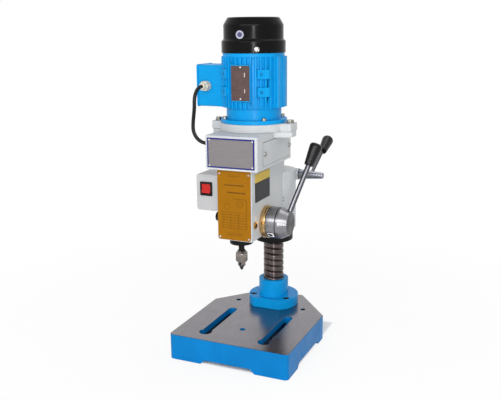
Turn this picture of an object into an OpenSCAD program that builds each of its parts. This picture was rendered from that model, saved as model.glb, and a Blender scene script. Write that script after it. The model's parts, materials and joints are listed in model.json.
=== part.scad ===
// Benchtop drill press on a screw column, with a belt-driven spindle under an upright motor.
// Millimetres. +X is the operator's right, +Y is the back, +Z is up.
// The origin is the middle of the base's footprint, on the surface that it stands on.

/* [Base] */
// Width of the base, side to side
base_w = 250; // [230:1:300]
// Depth of the base, front to back
base_d = 300; // [290:1:340]
// Height of the base
base_h = 52; // [44:1:64]
// Thickness of the machined top
base_top_t = 18; // [14:1:24]
// Thickness of the base's side walls
base_wall = 12; // [8:1:16]
// Radius of the two front corners
base_corner_r = 8; // [6:1:24]
// Length of each straight side
base_side_d = 205; // [190:1:220]
// Width of the rear edge between the slanted corners
base_rear_w = 92; // [70:1:110]
// Height of the arches between the feet
foot_h = 9; // [5:1:14]
// Length of a front foot along the front edge
foot_front_l = 68; // [50:1:80]
// Length of a front foot along the side
foot_side_l = 54; // [40:1:70]
// Length of a rear foot along the side
foot_rear_l = 28; // [20:1:40]
// Distance between the two work slots
slot_pitch = 126; // [110:1:140]
// Width of a work slot
slot_w = 18; // [14:1:20]
// Diameter of the round entry at a slot's front end
slot_entry_d = 25; // [22:1:28]
// Distance from the front edge to a slot's entry
slot_front = 37; // [30:1:45]
// Distance between a slot's two end centres
slot_l = 125; // [100:1:130]
// Diameter of the drill hole under the spindle
drill_hole_d = 11; // [8:0.5:14]
// Diameter of a bench bolt hole
bench_hole_d = 10; // [8:0.5:12]
// Distance between the two bench bolt holes
bench_pitch = 150; // [145:1:160]
// Distance from the column's axis forward to the bench bolt holes
bench_front = 20; // [16:1:30]
// Diameter of the boss around a bench bolt hole
bench_boss_d = 24; // [18:1:28]

/* [Column] */
// Distance from the column's axis to the rear edge of the base
column_rear = 60; // [56:1:70]
// Diameter over the thread's crests
column_d = 43; // [38:0.5:45]
// Height of the column's top above the floor
column_top_z = 380; // [375:1:410]
// Pitch of the column's thread
thread_pitch = 13; // [10:0.5:14]
// Depth of the column's thread
thread_depth = 1.8; // [1.4:0.1:3]
// Diameter of the column flange
flange_d = 106; // [102:1:112]
// Thickness of the column flange
flange_t = 21; // [18:1:26]
// Distance from the column's axis to the flat on the flange's front
flange_flat = 45; // [40:1:50]
// Diameter of the boss around the column
flange_boss_d = 63; // [56:1:66]
// Height of the boss above the flange
flange_boss_h = 36; // [24:1:40]
// Pitch circle of the flange screws
flange_pcd = 87; // [84:1:90]
// Thread diameter of the flange screws
flange_screw_d = 8; // [6:1:8]
// Depth of a flange screw in the base
flange_screw_in = 16; // [10:1:20]
// Diameter of the height nut
nut_d = 82; // [72:1:90]
// Thickness of the height nut
nut_h = 25; // [18:1:30]
// Height of the nut's lower face above the floor
nut_z = 197; // [196:1:215]
// Thickness of the thrust washer on the nut
washer_t = 2; // [1.5:0.5:4]
// Diameter of the thrust washer
washer_d = 60; // [54:1:66]

/* [Head] */
// Distance from the column's axis to the spindle's axis
throat = 165; // [160:1:185]
// Width of the spindle housing
housing_w = 71; // [66:1:80]
// Distance from the spindle's axis to the housing's front face
housing_front = 30.5; // [29:0.5:36]
// Distance from the spindle's axis to the housing's rear face
housing_rear = 76; // [70:1:85]
// Height of the housing's lower face above the floor
housing_z = 244; // [240:1:250]
// Height of the housing
housing_h = 137; // [135:1:145]
// Radius of the housing's upright edges
housing_edge_r = 3; // [1:0.5:6]
// Width of the web between housing and column clamp
web_w = 66; // [44:1:68]
// Distance from the housing's top down to the web's top
web_drop = 6; // [2:1:20]
// Height of the web
web_h = 125; // [100:1:127]
// Distance from the column's axis to the web's rear end
web_rear = 22; // [20:0.5:24]
// Diameter of the round column clamp
clamp_d = 94; // [86:1:100]
// Height of the column clamp
clamp_h = 124; // [118:1:140]
// Width of the split in the clamp
split_w = 4; // [2:0.5:6]

/* [Spindle and chuck] */
// Diameter of the quill
quill_d = 46; // [42:1:48]
// Length of the quill inside the housing
quill_l = 101; // [95:1:105]
// Height of the quill's nose cap
nose_h = 12; // [8:1:18]
// Diameter of the quill's nose cap
nose_d = 45; // [41:0.5:45.5]
// Diameter of the spindle in its bearings
spindle_d = 12; // [10:1:14]
// Outer diameter of the spindle bearings
spindle_bearing_d = 32; // [28:1:34]
// Width of the spindle bearings
spindle_bearing_w = 10; // [8:1:12]
// Diameter of the arbor between nose cap and chuck
arbor_d = 11.5; // [9:0.5:12]
// Length of arbor that shows between nose cap and chuck
arbor_l = 14; // [8:1:18]
// Diameter of the chuck's sleeve
chuck_d = 23; // [21:0.5:28]
// Length of the chuck's tapered cap
chuck_cap_h = 6; // [4:0.5:8]
// Length of the chuck's sleeve
chuck_sleeve_h = 17; // [15:0.5:20]
// Wall of the chuck's sleeve
chuck_sleeve_wall = 2; // [1.5:0.1:2.4]
// Diameter of the chuck's nose
chuck_nose_d = 15; // [13.5:0.5:17]
// Length of the chuck's nose below the sleeve
chuck_nose_h = 10.5; // [9:0.5:12]
// Length of the jaws below the nose when closed
jaw_out = 7.5; // [6:0.5:9]
// Diameter of a chuck jaw
jaw_d = 4.4; // [3.8:0.1:4.6]
// Slope of a jaw from the spindle's axis, in degrees
jaw_slope = 12; // [10:0.5:13]
// Length of a chuck jaw along the spindle's axis
jaw_l = 18; // [16:0.5:20]

/* [Feed] */
// Distance from the spindle's axis back to the feed shaft
feed_back = 35; // [35:0.5:37]
// Height of the feed shaft above the housing's lower face
feed_rise = 26; // [24:1:32]
// Tooth size of the rack and pinion
gear_module = 1; // [0.8:0.1:1.1]
// Number of teeth on the pinion
pinion_teeth = 28; // [26:1:30]
// Width of the pinion
pinion_w = 24; // [16:1:26]
// Play between the rack's and the pinion's teeth
tooth_play = 0.3; // [0.2:0.05:0.4]
// Diameter of the feed shaft
feed_shaft_d = 16; // [12:1:18]
// Diameter of the brass bush's collar
bush_d = 63; // [54:1:64]
// Thickness of the brass bush's collar
bush_t = 11; // [6:1:12]
// Diameter of the depth dial
dial_d = 61; // [50:1:62]
// Width of the depth dial
dial_t = 19; // [14:0.5:24]
// Diameter of the hub sleeve that carries the dial
dial_seat_d = 32; // [26:1:40]
// Length of the tapered feed hub
hub_l = 22; // [22:1:34]
// Diameter of the hub beside the dial
hub_d = 61; // [52:1:62]
// Diameter of the hub's end face
hub_end_d = 46; // [38:1:50]
// Diameter of the feed lever
lever_d = 10; // [8:0.5:12]
// Length of the feed lever from the shaft's axis
lever_l = 138; // [125:1:150]
// Lean of the lever away from the head, in degrees
lever_lean = 14; // [9:0.5:16]
// Angle of the lever above the level, pointing back, in degrees
lever_up = 66; // [55:1:80]
// Length of a lever grip
grip_l = 46; // [40:1:56]
// Diameter of a grip at its lever end
grip_d1 = 18; // [17:0.5:20]
// Diameter of a grip at its far end
grip_d2 = 25; // [20:0.5:28]
// Diameter of the return spring's cap
spring_cap_d = 38; // [34:0.5:38.5]
// Depth of the return spring's cap
spring_cap_t = 25; // [18:1:28]
// Diameter of the nut on the spring's cap
spring_nut_d = 18; // [12:0.5:22]
// Thickness of the nut on the spring's cap
spring_nut_t = 8.5; // [5:0.5:12]
// Number of turns of the return spring
spring_turns = 4; // [3:1:4]
// Thickness of the return spring's strip
spring_strip = 0.8; // [0.6:0.1:1.2]

/* [Head lock] */
// Distance from the column's axis back to the lock stud
lock_back = 28; // [28:0.5:30]
// Distance from the clamp's top down to the lock stud
lock_drop = 13; // [12:1:24]
// Diameter of the lock stud
lock_stud_d = 8; // [6:0.5:9]
// Length of the boss under the lock handle
lock_boss_l = 10; // [6:1:20]
// Diameter of the boss under the lock handle
lock_boss_d = 24; // [18:1:28]
// Length of the lock handle's cone
lock_hub_l = 53; // [48:1:66]
// Diameter of the cone at its foot
lock_hub_d1 = 21; // [15:0.5:22]
// Diameter of the cone at its end
lock_hub_d2 = 13; // [11:0.5:15]
// Distance from the cone's foot to the lock lever
lock_rod_at = 25; // [20:1:38]
// Diameter of the lock lever
lock_rod_d = 7; // [6:0.5:8]
// Length of the lock lever from the stud's axis
lock_rod_l = 104; // [80:1:110]
// Angle of the lock lever above the level, pointing back, in degrees
lock_up = 27; // [20:1:45]

/* [Belt drive] */
// Width of the belt box
box_w = 105; // [100:1:112]
// Distance from the spindle's axis to the belt box's front
box_front = 43; // [40:1:50]
// Depth of the belt box
box_d = 173; // [165:1:180]
// Height of the belt box
box_h = 63.5; // [60:0.5:68]
// Wall of the belt box
box_wall = 5; // [3:0.5:6]
// Radius of the belt box's upright edges
box_edge_r = 4; // [2:0.5:8]
// Distance from the belt box's front to the side cover
cover_front = 26.5; // [22:0.5:30]
// Length of the side cover
cover_l = 141.5; // [130:0.5:143]
// Height of the side cover
cover_h = 45; // [41:1:48]
// Thickness of the side cover
cover_t = 2.5; // [2:0.5:3]
// Overlap of the side cover on the box
cover_lap = 14; // [11:1:15]
// Diameter of a side cover screw
cover_screw_d = 5; // [4:0.5:6]
// Distance between the spindle's and the motor's axes
belt_centres = 65; // [62:0.5:70]
// Diameter of the larger pulley step
pulley_big_d = 54; // [50:1:56]
// Diameter of the smaller pulley step
pulley_small_d = 42; // [40:1:44]
// Height of one pulley step
pulley_step_h = 13; // [12:0.5:15]
// Height of the pulleys above the belt box's floor
pulley_rise = 8; // [6:0.5:10]
// Width of the belt
belt_w = 7; // [5:0.5:8]
// Thickness of the belt
belt_t = 5; // [4:0.5:5.5]
// Diameter of the pulley's sleeve
sleeve_d = 20; // [18:1:22]
// Outer diameter of the sleeve's bearings
sleeve_bearing_d = 37; // [32:1:40]
// Width of the sleeve's bearings
sleeve_bearing_w = 9; // [7:0.5:10]

/* [Motor] */
// Diameter of the motor plate
plate_d = 130; // [128:1:138]
// Thickness of the motor plate
plate_t = 15; // [12:1:18]
// Distance between the plate's ear bolts
ear_pitch = 151; // [150:1:166]
// Width of an ear
ear_w = 38; // [20:1:44]
// Distance from an ear bolt's axis to the ear's end
ear_out = 7.5; // [7:0.5:14]
// Radius of an ear's corners
ear_r = 4; // [1:0.5:8]
// Thread diameter of an ear bolt
ear_bolt_d = 8; // [8:1:10]
// Thickness of the lugs under the ears
lug_t = 11; // [8:1:14]
// Width of the lugs where they leave the belt box
lug_w = 56; // [40:1:72]
// Width of the lugs at their ends
lug_end_w = 24; // [20:1:40]
// Diameter of the motor's flange
motor_flange_d = 128; // [126:1:131]
// Thickness of the motor's flange
motor_flange_t = 7.5; // [6:0.5:12]
// Diameter of the motor's neck
motor_neck_d = 106; // [98:1:108]
// Height of the motor's neck
motor_neck_h = 22; // [19:1:26]
// Pitch circle of the motor's flange screws
motor_screw_pcd = 118; // [116:0.5:119]
// Thread diameter of the motor's flange screws
motor_screw_d = 5; // [4:0.5:5]
// Diameter over the motor's fins
motor_d = 123; // [118:1:126]
// Height of the finned frame
motor_h = 95; // [88:1:105]
// Depth of a fin
fin_h = 5; // [3:0.5:6]
// Thickness of a fin
fin_t = 3; // [2.4:0.1:3.6]
// Number of fins round the frame
fin_count = 40; // [32:4:48]
// Wall of the motor frame under the fins
motor_wall = 5; // [4:0.5:6]
// Gap between the finned frame and the fan cover
fan_cover_gap = 6.5; // [4:0.5:10]
// How much smaller the fan cover's lower band is than the finned frame
fan_cover_in = 1; // [0:0.5:4]
// Height of the fan cover's lower band
fan_band_h = 22.5; // [18:0.5:28]
// How much smaller the fan cover is above the band
fan_step = 8; // [6:0.5:12]
// Height of the fan cover
fan_cover_h = 65; // [60:1:72]
// Width of the slope round the fan cover's top
fan_slope_w = 8; // [6:0.5:12]
// Height of the slope round the fan cover's top
fan_slope_h = 13.5; // [8:0.5:16]
// Wall of the fan cover
fan_cover_wall = 2; // [1.5:0.5:3]
// Width of an air slot in the fan cover's top
air_slot_w = 3.6; // [2.5:0.1:3.8]
// Number of air slots round the top
air_slots = 20; // [12:1:24]
// Diameter of the motor's shaft
motor_shaft_d = 14; // [11:1:16]
// Outer diameter of the motor's bearings
motor_bearing_d = 35; // [32:1:40]
// Width of the motor's bearings
motor_bearing_w = 11; // [8:1:12]
// Diameter of the rotor's core
rotor_d = 60; // [50:1:66]
// Height of the rotor's core
rotor_h = 60; // [45:1:65]
// Gap between rotor and stator
air_gap = 0.6; // [0.4:0.1:1]
// Room round the fan
fan_room = 4; // [3:0.5:8]
// Thread diameter of the fan cover's screws
fan_screw_d = 5; // [3:0.5:5]
// Height of the fan's blades
fan_h = 24; // [18:1:28]
// Number of fan blades
fan_blades = 7; // [5:1:9]

/* [Motor's junction box] */
// Width of the junction box, out from the motor
junction_w = 41; // [36:1:46]
// Depth of the junction box, front to back
junction_d = 64; // [56:1:70]
// Height of the junction box
junction_h = 79; // [70:1:84]
// Wall of the junction box
junction_wall = 3; // [2:0.5:4]
// Radius of the junction box's edges
junction_edge_r = 4; // [2:0.5:6]
// Thickness of the junction box's lid
junction_lid_t = 3.5; // [3:0.5:6]
// Distance from the fins' tips to the junction box
junction_gap = 0.5; // [0.5:0.5:4]
// Height of the junction box above the finned frame's lower edge
junction_rise = 0; // [0:1:8]
// Distance of the cable gland from the motor's side of the junction box
gland_out = 22; // [20:1:28]
// Diameter of the cable gland's nut
gland_d = 20; // [16:1:24]
// Length of the cable gland
gland_l = 24; // [20:1:28]
// Diameter of the motor lead
lead_d = 7; // [6:0.1:7.2]
// Bend radius of the motor lead
lead_bend = 28; // [28:0.5:32]
// Distance from the belt box's front back to where the lead enters
lead_in_back = 33; // [28:1:45]
// Height above the belt box's floor where the lead enters
lead_in_rise = 43; // [36:1:50]
// Diameter of the grommet where the lead enters the belt box
grommet_d = 14; // [12:1:16]
// Length of the grommet outside the belt box
grommet_l = 7.5; // [6:0.5:10]

/* [Switch] */
// Width of the switch box
switch_w = 60; // [54:1:66]
// Depth of the switch box
switch_d = 55; // [48:1:60]
// Height of the switch box
switch_h = 71.5; // [64:0.5:76]
// Wall of the switch box
switch_wall = 2.5; // [2:0.5:3]
// Radius of the switch box's edges
switch_edge_r = 5; // [3:0.5:8]
// Distance from the housing's front face back to the switch box
switch_back = 31; // [24:1:36]
// Height of the switch box above the housing's lower face
switch_rise = 45.5; // [43:0.5:52]
// Width of the rocker switch's frame
bezel_w = 26; // [24:0.5:30]
// Height of the rocker switch's frame
bezel_h = 27.5; // [26:0.5:34]
// Height of the rocker switch's middle above the middle of the box
bezel_up = 7.5; // [0:0.5:10]
// Thickness of the rocker switch's frame
bezel_t = 2; // [1.5:0.5:3]
// Border of the rocker switch's frame
bezel_border = 3.6; // [3:0.1:4.5]
// Tilt of the rocker to either side, in degrees
rocker_tilt = 7; // [5:0.5:8]
// Diameter of the mains inlet gland
inlet_d = 16; // [12:1:20]

/* [Plates and plugs] */
// Thickness of the plates on the casings
sheet_t = 1.2; // [0.8:0.1:1.5]
// Diameter of the plates' rivets
rivet_d = 3; // [2.4:0.1:3.6]
// Margin round the badge plate
badge_margin = 5; // [3:0.5:8]
// Margin round the front data plate
data_margin = 1.5; // [1:0.5:4]
// Radius of the data plate's lower corners
data_corner_r = 5; // [3:0.5:8]
// Length of the side plate
side_plate_l = 69; // [54:1:72]
// Height of the side plate
side_plate_h = 54; // [40:1:60]
// Distance from the spindle's axis forward to the side plate's front edge
side_plate_front = 14; // [8:1:20]
// Distance from the housing's top to the side plate
side_plate_drop = 10; // [6:1:16]
// Width of the motor's nameplate
nameplate_w = 37; // [30:1:40]
// Height of the motor's nameplate
nameplate_h = 64; // [54:1:70]
// Diameter of the brass oil plug
oil_plug_d = 13; // [7:0.5:14]
// Distance from the spindle's axis forward to the oil plug
oil_plug_front = 15; // [0:1:18]
// Height of the oil plug above the housing's lower face
oil_plug_rise = 30; // [28:1:40]

/* [Fits] */
// Gap round a part that turns or slides in its bore
run_fit = 0.05; // [0.03:0.01:0.08]
// Gap round a part that is fixed in its bore
fixed_fit = 0.03; // [0.02:0.01:0.06]
// Gap between parts that pass each other freely
free_gap = 0.3; // [0.25:0.05:0.4]
// Gap between the column's thread and what slides along it
thread_gap = 0.6; // [0.5:0.05:0.8]

/* [Hidden] */
$fn = 48;
// Overshoot of a cut past the face that it opens
cut = 1;

// Base
front_y = -base_d / 2;
rear_y = base_d / 2;
side_end_y = front_y + base_side_d;
slant_x = (base_w - base_rear_w) / 2;
slant_y = base_d - base_side_d;
slant_n = [slant_y, slant_x] / norm([slant_x, slant_y]);
slant_at = slant_n * [base_w / 2, side_end_y];
column_y = rear_y - column_rear;
slot_front_y = front_y + slot_front;
bench_y = column_y - bench_front;

// Column and height nut
column_bore_d = column_d + 2 * thread_gap;
flange_top_z = base_h + flange_t;
boss_top_z = flange_top_z + flange_boss_h;
flange_angles = [-30, 90, 210];
screw_head_d = 1.6 * flange_screw_d;
screw_head_h = flange_screw_d;
screw_sink = screw_head_h + 1;
nut_top_z = nut_z + nut_h;
thread_sides = 20;
thread_steps = 5;
thread_z0 = boss_top_z - 6;

// Head
spindle_y = column_y - throat;
housing_front_y = spindle_y - housing_front;
housing_rear_y = spindle_y + housing_rear;
housing_top_z = housing_z + housing_h;
housing_side = housing_w / 2;
clamp_z = nut_top_z + washer_t;
clamp_top_z = clamp_z + clamp_h;
lock_y = column_y + lock_back;
lock_z = clamp_top_z - lock_drop;
stud_cover = 6;
lock_side = sqrt(clamp_d * clamp_d / 4 - lock_back * lock_back);
lock_foot_x = lock_side + lock_boss_l;
lock_rod_x = lock_foot_x + lock_rod_at;

// Spindle, quill and chuck
quill_top_z = housing_z + quill_l;
nose_z = housing_z - nose_h;
quill_bearing_lift = 2;
lower_bearing_z = housing_z + quill_bearing_lift;
upper_bearing_z = quill_top_z - quill_bearing_lift - spindle_bearing_w;
spindle_shoulder_d = spindle_d + 5;
chuck_z = nose_z - arbor_l;
sleeve_top_z = chuck_z - chuck_cap_h;
sleeve_z = sleeve_top_z - chuck_sleeve_h;
chuck_nose_z = sleeve_z - chuck_nose_h;
chuck_tip_z = chuck_nose_z - jaw_out;
chuck_core_d = chuck_d - 2 * chuck_sleeve_wall;
arbor_in = 10;
jaw_gap = 0.12;
jaw_offset = 1.5;
jaw_base_z = chuck_tip_z + 4;
drill_bore_d = 4.2;
sleeve_gap = 0.4;

// Feed
feed_y = spindle_y + feed_back;
feed_z = housing_z + feed_rise;
pressure_angle = 20;
pinion_r = gear_module * pinion_teeth / 2;
pinion_tip_r = pinion_r + gear_module;
pinion_root_r = pinion_r - 1.25 * gear_module;
pinion_base_r = pinion_r * cos(pressure_angle);
tooth_pitch = PI * gear_module;
rack_line = feed_back - pinion_r;
rack_teeth_up = 17;
rack_teeth_down = 5;
pinion_bore_d = 2 * pinion_tip_r + 1.2;
pinion_room = 1.5;
bush_x = housing_side + bush_t;
dial_x = bush_x + free_gap;
hub_x = dial_x + dial_t + free_gap;
hub_end_x = hub_x + hub_l;
lever_root_x = hub_x + hub_l / 2;
lever_dir = [sin(lever_lean), cos(lever_lean) * cos(lever_up), cos(lever_lean) * sin(lever_up)];
lever_in = 12;
cap_wall = 2;
spring_in_d = feed_shaft_d + 2 * free_gap + 0.4;
spring_room_d = spring_cap_d - 2 * cap_wall;
spring_pitch = (spring_room_d - spring_in_d - 2 * spring_strip) / 2 / spring_turns;

// Belt box and pulleys
box_front_y = spindle_y - box_front;
box_rear_y = box_front_y + box_d;
box_z = housing_top_z;
box_top_z = box_z + box_h;
box_side = box_w / 2;
box_mid_y = (box_front_y + box_rear_y) / 2;
motor_y = spindle_y + belt_centres;
pulley_z = box_z + box_wall + pulley_rise;
belt_z = pulley_z + pulley_step_h / 2;
groove_d = 2 * belt_t - 0.4;
groove_w = belt_w + 1;
motor_hole_d = pulley_big_d + 8;
cover_y = box_front_y + cover_front;
cover_z = box_z + (box_h - cover_h) / 2 - 3;
sleeve_bearing_z = housing_top_z - 2 * sleeve_bearing_w;

// Motor
plate_z = box_top_z;
motor_z = plate_z + plate_t;
neck_z = motor_z + motor_flange_t;
frame_z = neck_z + motor_neck_h;
frame_top_z = frame_z + motor_h;
fan_cover_z = frame_top_z + fan_cover_gap;
fan_cover_top_z = fan_cover_z + fan_cover_h;
frame_core_d = motor_d - 2 * fin_h;
frame_bore_d = frame_core_d - 2 * motor_wall;
fan_cover_d = motor_d - fan_cover_in;
fan_top_d = fan_cover_d - fan_step;
spigot_d = fan_cover_d - 2 * fan_cover_wall - 2 * fixed_fit;
fan_d = spigot_d - 2 * motor_wall - 2 * fan_room;
spigot_in = 14;
end_wall_t = 8;
upper_motor_bearing_z = frame_top_z - motor_bearing_w;
lower_motor_bearing_z = frame_z - motor_bearing_w;
rotor_z = frame_z + (motor_h - end_wall_t - rotor_h) / 2;
fan_z = frame_top_z + end_wall_t + 6;
fan_screw_z = fan_cover_z + spigot_in / 2;
fan_screw_angles = [-61, 59, 179];
motor_screw_angles = [-48, 42, 132, 222];
nameplate_y = motor_y - motor_d / 2;

// Junction box and the lead's route
junction_out = motor_d / 2 + junction_gap;
junction_x = -junction_out;
junction_z = frame_z + junction_rise;
lid_x = junction_x - junction_w;
gland_x = junction_x - gland_out;
gland_z = junction_z + junction_h / 2;
gland_y = motor_y - junction_d / 2;
lead_sides = 8;
lead_from = [gland_x, gland_y - gland_l, gland_z];
lead_to = [-box_side - grommet_l, box_front_y + lead_in_back, box_z + lead_in_rise];
lead_straight = 2;
bend_1 = lead_from + [0, -lead_straight, -lead_bend];
bend_2 = lead_to + [-3 * lead_straight, 0, lead_bend];
run_1 = bend_1 + [0, -lead_bend, 0];
run_2 = bend_2 + [-lead_bend, 0, 0];
lead_route = concat([lead_from],
  [for (a = [0:15:75]) bend_1 + lead_bend * [0, -sin(a), cos(a)]],
  [for (t = [0:1 / 6:1])
    let (blend = (1 - cos(180 * t)) / 2)
    [run_1.x + (run_2.x - run_1.x) * blend, run_1.y + (run_2.y - run_1.y) * blend,
      run_1.z + (run_2.z - run_1.z) * t]],
  [for (a = [15:15:90]) bend_2 + lead_bend * [-cos(a), 0, -sin(a)]],
  [lead_to]);

// Switch box
switch_front_y = housing_front_y + switch_back;
switch_z = housing_z + switch_rise;
switch_x = -housing_side - switch_w;
rocker_x = -housing_side - switch_w / 2 - 8.5;
rocker_z = switch_z + switch_h / 2 + bezel_up;
rocker_y = switch_front_y + 4;
bezel_body_d = 16;
rocker_gap = 0.4;
rocker_pin_d = 2;

// Rectangle with rounded corners, centred
module rounded_rect(w, d, r) {
  square([w - 2 * r, d], center = true);
  square([w, d - 2 * r], center = true);
  for (x = [-1, 1])
    for (y = [-1, 1])
      translate([x * (w / 2 - r), y * (d / 2 - r)])
        circle(r = r);
}

// Outline in X and Z, drawn out between two Y values
module along_y(y0, y1) {
  translate([0, y1, 0])
    rotate([90, 0, 0])
      linear_extrude(y1 - y0)
        children();
}

// Outline in Y and Z, drawn out between two X values
module along_x(x0, x1) {
  translate([x0, 0, 0])
    rotate([90, 0, 90])
      linear_extrude(x1 - x0)
        children();
}

// Round bar along X through a point given in Y and Z
module bar_x(d, x0, x1, y, z) {
  translate([x0, y, z])
    rotate([0, 90, 0])
      cylinder(d = d, h = x1 - x0);
}

// Round bar along Y through a point given in X and Z
module bar_y(d, y0, y1, x, z) {
  translate([x, y0, z])
    rotate([-90, 0, 0])
      cylinder(d = d, h = y1 - y0);
}

// Upright ring
module ring(d_out, d_in, h) {
  rotate_extrude()
    translate([d_in / 2, 0])
      square([(d_out - d_in) / 2, h]);
}

// Ball bearing as one ring with recessed shields
module bearing(d_out, d_in, w) {
  wall = (d_out - d_in) / 2;
  shield = wall * 0.22;
  sink = w * 0.06;
  rotate_extrude()
    translate([d_in / 2, 0])
      polygon([[0, 0], [shield, 0], [shield, sink], [wall - shield, sink], [wall - shield, 0],
        [wall, 0], [wall, w], [wall - shield, w], [wall - shield, w - sink],
        [shield, w - sink], [shield, w], [0, w]]);
}

// Turns children so that +Z points along a direction
module aim(dir) {
  rotate([0, acos(dir.z / norm(dir)), atan2(dir.y, dir.x)])
    children();
}

// Tapered round grip with a domed end, along +Z, on a rod
module grip(rod_d, rod_in) {
  dome = grip_d2 * 0.28;
  difference() {
    rotate_extrude()
      union() {
        polygon([[0, 0], [grip_d1 / 2 - 1, 0], [grip_d1 / 2, 1], [grip_d2 / 2, grip_l - dome],
          [0, grip_l - dome]]);
        translate([0, grip_l - dome])
          dome_profile(grip_d2 / 2, dome);
      }
    translate([0, 0, -cut])
      cylinder(d = rod_d + 2 * fixed_fit, h = rod_in + cut);
  }
}

// Half profile of a dome of a given rim radius and height, from the axis outwards
module dome_profile(rim_r, h) {
  ball_r = (rim_r * rim_r + h * h) / (2 * h);
  intersection() {
    translate([0, h - ball_r])
      circle(r = ball_r);
    square([rim_r, h]);
  }
}

// Height of the slanted edge's line at a given x, moved in by an inset
function slant_y_at(x, inset) = (slant_at - inset - slant_n.x * x) / slant_n.y;
// Place of the slanted edge's line at a given y, moved in by an inset
function slant_x_at(y, inset) = (slant_at - inset - slant_n.y * y) / slant_n.x;

// Outline of the base, moved in by an inset
module base_outline(inset) {
  half = base_w / 2 - inset;
  front = front_y + inset;
  back = rear_y - inset;
  r = max(base_corner_r - inset, 2);
  shoulder = slant_y_at(half, inset);
  back_half = slant_x_at(back, inset);
  polygon([[half - r, front], [half, front + r], [half, shoulder], [back_half, back],
    [-back_half, back], [-half, shoulder], [-half, front + r], [-half + r, front]]);
  for (side = [-1, 1])
    translate([side * (half - r), front + r])
      circle(r = r);
}

// Arch between two feet, with sloped ends
module arch(from, to) {
  polygon([[from, -cut], [to, -cut], [to, 0], [to - foot_h, foot_h], [from + foot_h, foot_h],
    [from, 0]]);
}

module flange_places() {
  for (a = flange_angles)
    translate([0, column_y, 0])
      rotate(a)
        translate([flange_pcd / 2, 0, 0])
          children();
}

module base_plate() {
  arch_half = base_w / 2 - foot_front_l;
  color("dodgerblue")
  difference() {
    linear_extrude(base_h)
      base_outline(0);
    // Hollow underside, with bosses left under the column and round the bench bolts
    translate([0, 0, -cut])
      linear_extrude(base_h - base_top_t + cut)
        difference() {
          base_outline(base_wall);
          translate([0, column_y])
            circle(d = flange_d);
          for (side = [-1, 1])
            translate([side * bench_pitch / 2, bench_y])
              circle(d = bench_boss_d);
        }
    along_y(front_y - cut, front_y + base_wall + cut)
      arch(-arch_half, arch_half);
    for (side = [-1, 1])
      translate([side * (base_w / 2 - base_wall / 2), 0, 0])
        along_x(-base_wall / 2 - cut, base_wall / 2 + cut)
          arch(front_y + foot_side_l, side_end_y - foot_rear_l);
    for (side = [-1, 1])
      translate([side * slot_pitch / 2, slot_front_y, -cut])
        linear_extrude(base_h + 2 * cut)
          union() {
            translate([-slot_w / 2, 0])
              square([slot_w, slot_l]);
            circle(d = slot_entry_d);
            translate([0, slot_l])
              circle(d = slot_w);
          }
    translate([0, spindle_y, -cut])
      cylinder(d = drill_hole_d, h = base_h + 2 * cut);
    for (side = [-1, 1])
      translate([side * bench_pitch / 2, bench_y, -cut])
        cylinder(d = bench_hole_d, h = base_h + 2 * cut);
    flange_places()
      translate([0, 0, base_h - flange_screw_in - cut])
        cylinder(d = flange_screw_d + 2 * fixed_fit, h = flange_screw_in + 2 * cut);
  }
}

module column_flange() {
  color("deepskyblue")
  difference() {
    union() {
      intersection() {
        translate([0, column_y, base_h])
          cylinder(d = flange_d, h = flange_t);
        translate([-flange_d, column_y - flange_flat, base_h - cut])
          cube([2 * flange_d, 2 * flange_d, flange_t + 2 * cut]);
      }
      translate([0, column_y, base_h])
        cylinder(d = flange_boss_d, h = flange_t + flange_boss_h);
    }
    translate([0, column_y, base_h - cut])
      cylinder(d = column_d + 2 * free_gap, h = flange_t + flange_boss_h + 2 * cut);
    flange_places()
      translate([0, 0, base_h - cut])
        union() {
          cylinder(d = flange_screw_d + 1, h = flange_t + 2 * cut);
          translate([0, 0, flange_t - screw_sink + cut])
            cylinder(d = screw_head_d + 2, h = screw_sink + cut);
        }
  }
}

module flange_screws() {
  key = flange_screw_d * 0.75;
  color("dimgray")
  flange_places()
    difference() {
      union() {
        translate([0, 0, base_h - flange_screw_in])
          cylinder(d = flange_screw_d, h = flange_screw_in + flange_t - screw_sink);
        translate([0, 0, flange_top_z - screw_sink])
          cylinder(d = screw_head_d, h = screw_head_h);
      }
      translate([0, 0, flange_top_z - screw_sink + screw_head_h / 2])
        cylinder(d = key / cos(30), h = screw_head_h, $fn = 6);
    }
}

// Radius of the column at an angle and a height: round crests with a smooth groove between
function thread_r(a, z) =
  let (turn = z / thread_pitch + a / 360, share = abs(turn - floor(turn) - 0.5) / 0.34)
  column_d / 2 - (share < 1 ? thread_depth * (1 + cos(180 * share)) / 2 : 0);

module threaded_column() {
  chamfer = 2;
  step = thread_pitch / thread_steps;
  turns_up = floor((column_top_z - chamfer - thread_z0) / step);
  heights = concat([base_h, thread_z0 - step], [for (i = [0:turns_up]) thread_z0 + i * step],
    [column_top_z]);
  last = len(heights) - 1;
  points = [for (k = [0:last])
    for (s = [0:thread_sides - 1])
      let (a = 360 * s / thread_sides,
        r = k < 2 ? column_d / 2
         : k == last ? column_d / 2 - thread_depth - chamfer
         : thread_r(a, heights[k]))
      [r * cos(a), r * sin(a), heights[k]]];
  sides = [for (k = [0:last - 1])
    for (s = [0:thread_sides - 1])
      let (n = (s + 1) % thread_sides, a = k * thread_sides, b = a + thread_sides)
      each [[a + s, b + s, b + n], [a + s, b + n, a + n]]];
  foot = [for (s = [0:thread_sides - 1]) s];
  top = [for (s = [thread_sides - 1:-1:0]) last * thread_sides + s];
  color("dimgray")
  translate([0, column_y, 0])
    polyhedron(points, concat(sides, [foot, top]));
}

module thrust_washer() {
  color("darkgray")
  translate([0, column_y, nut_top_z])
    ring(washer_d, column_bore_d, washer_t);
}

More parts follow.
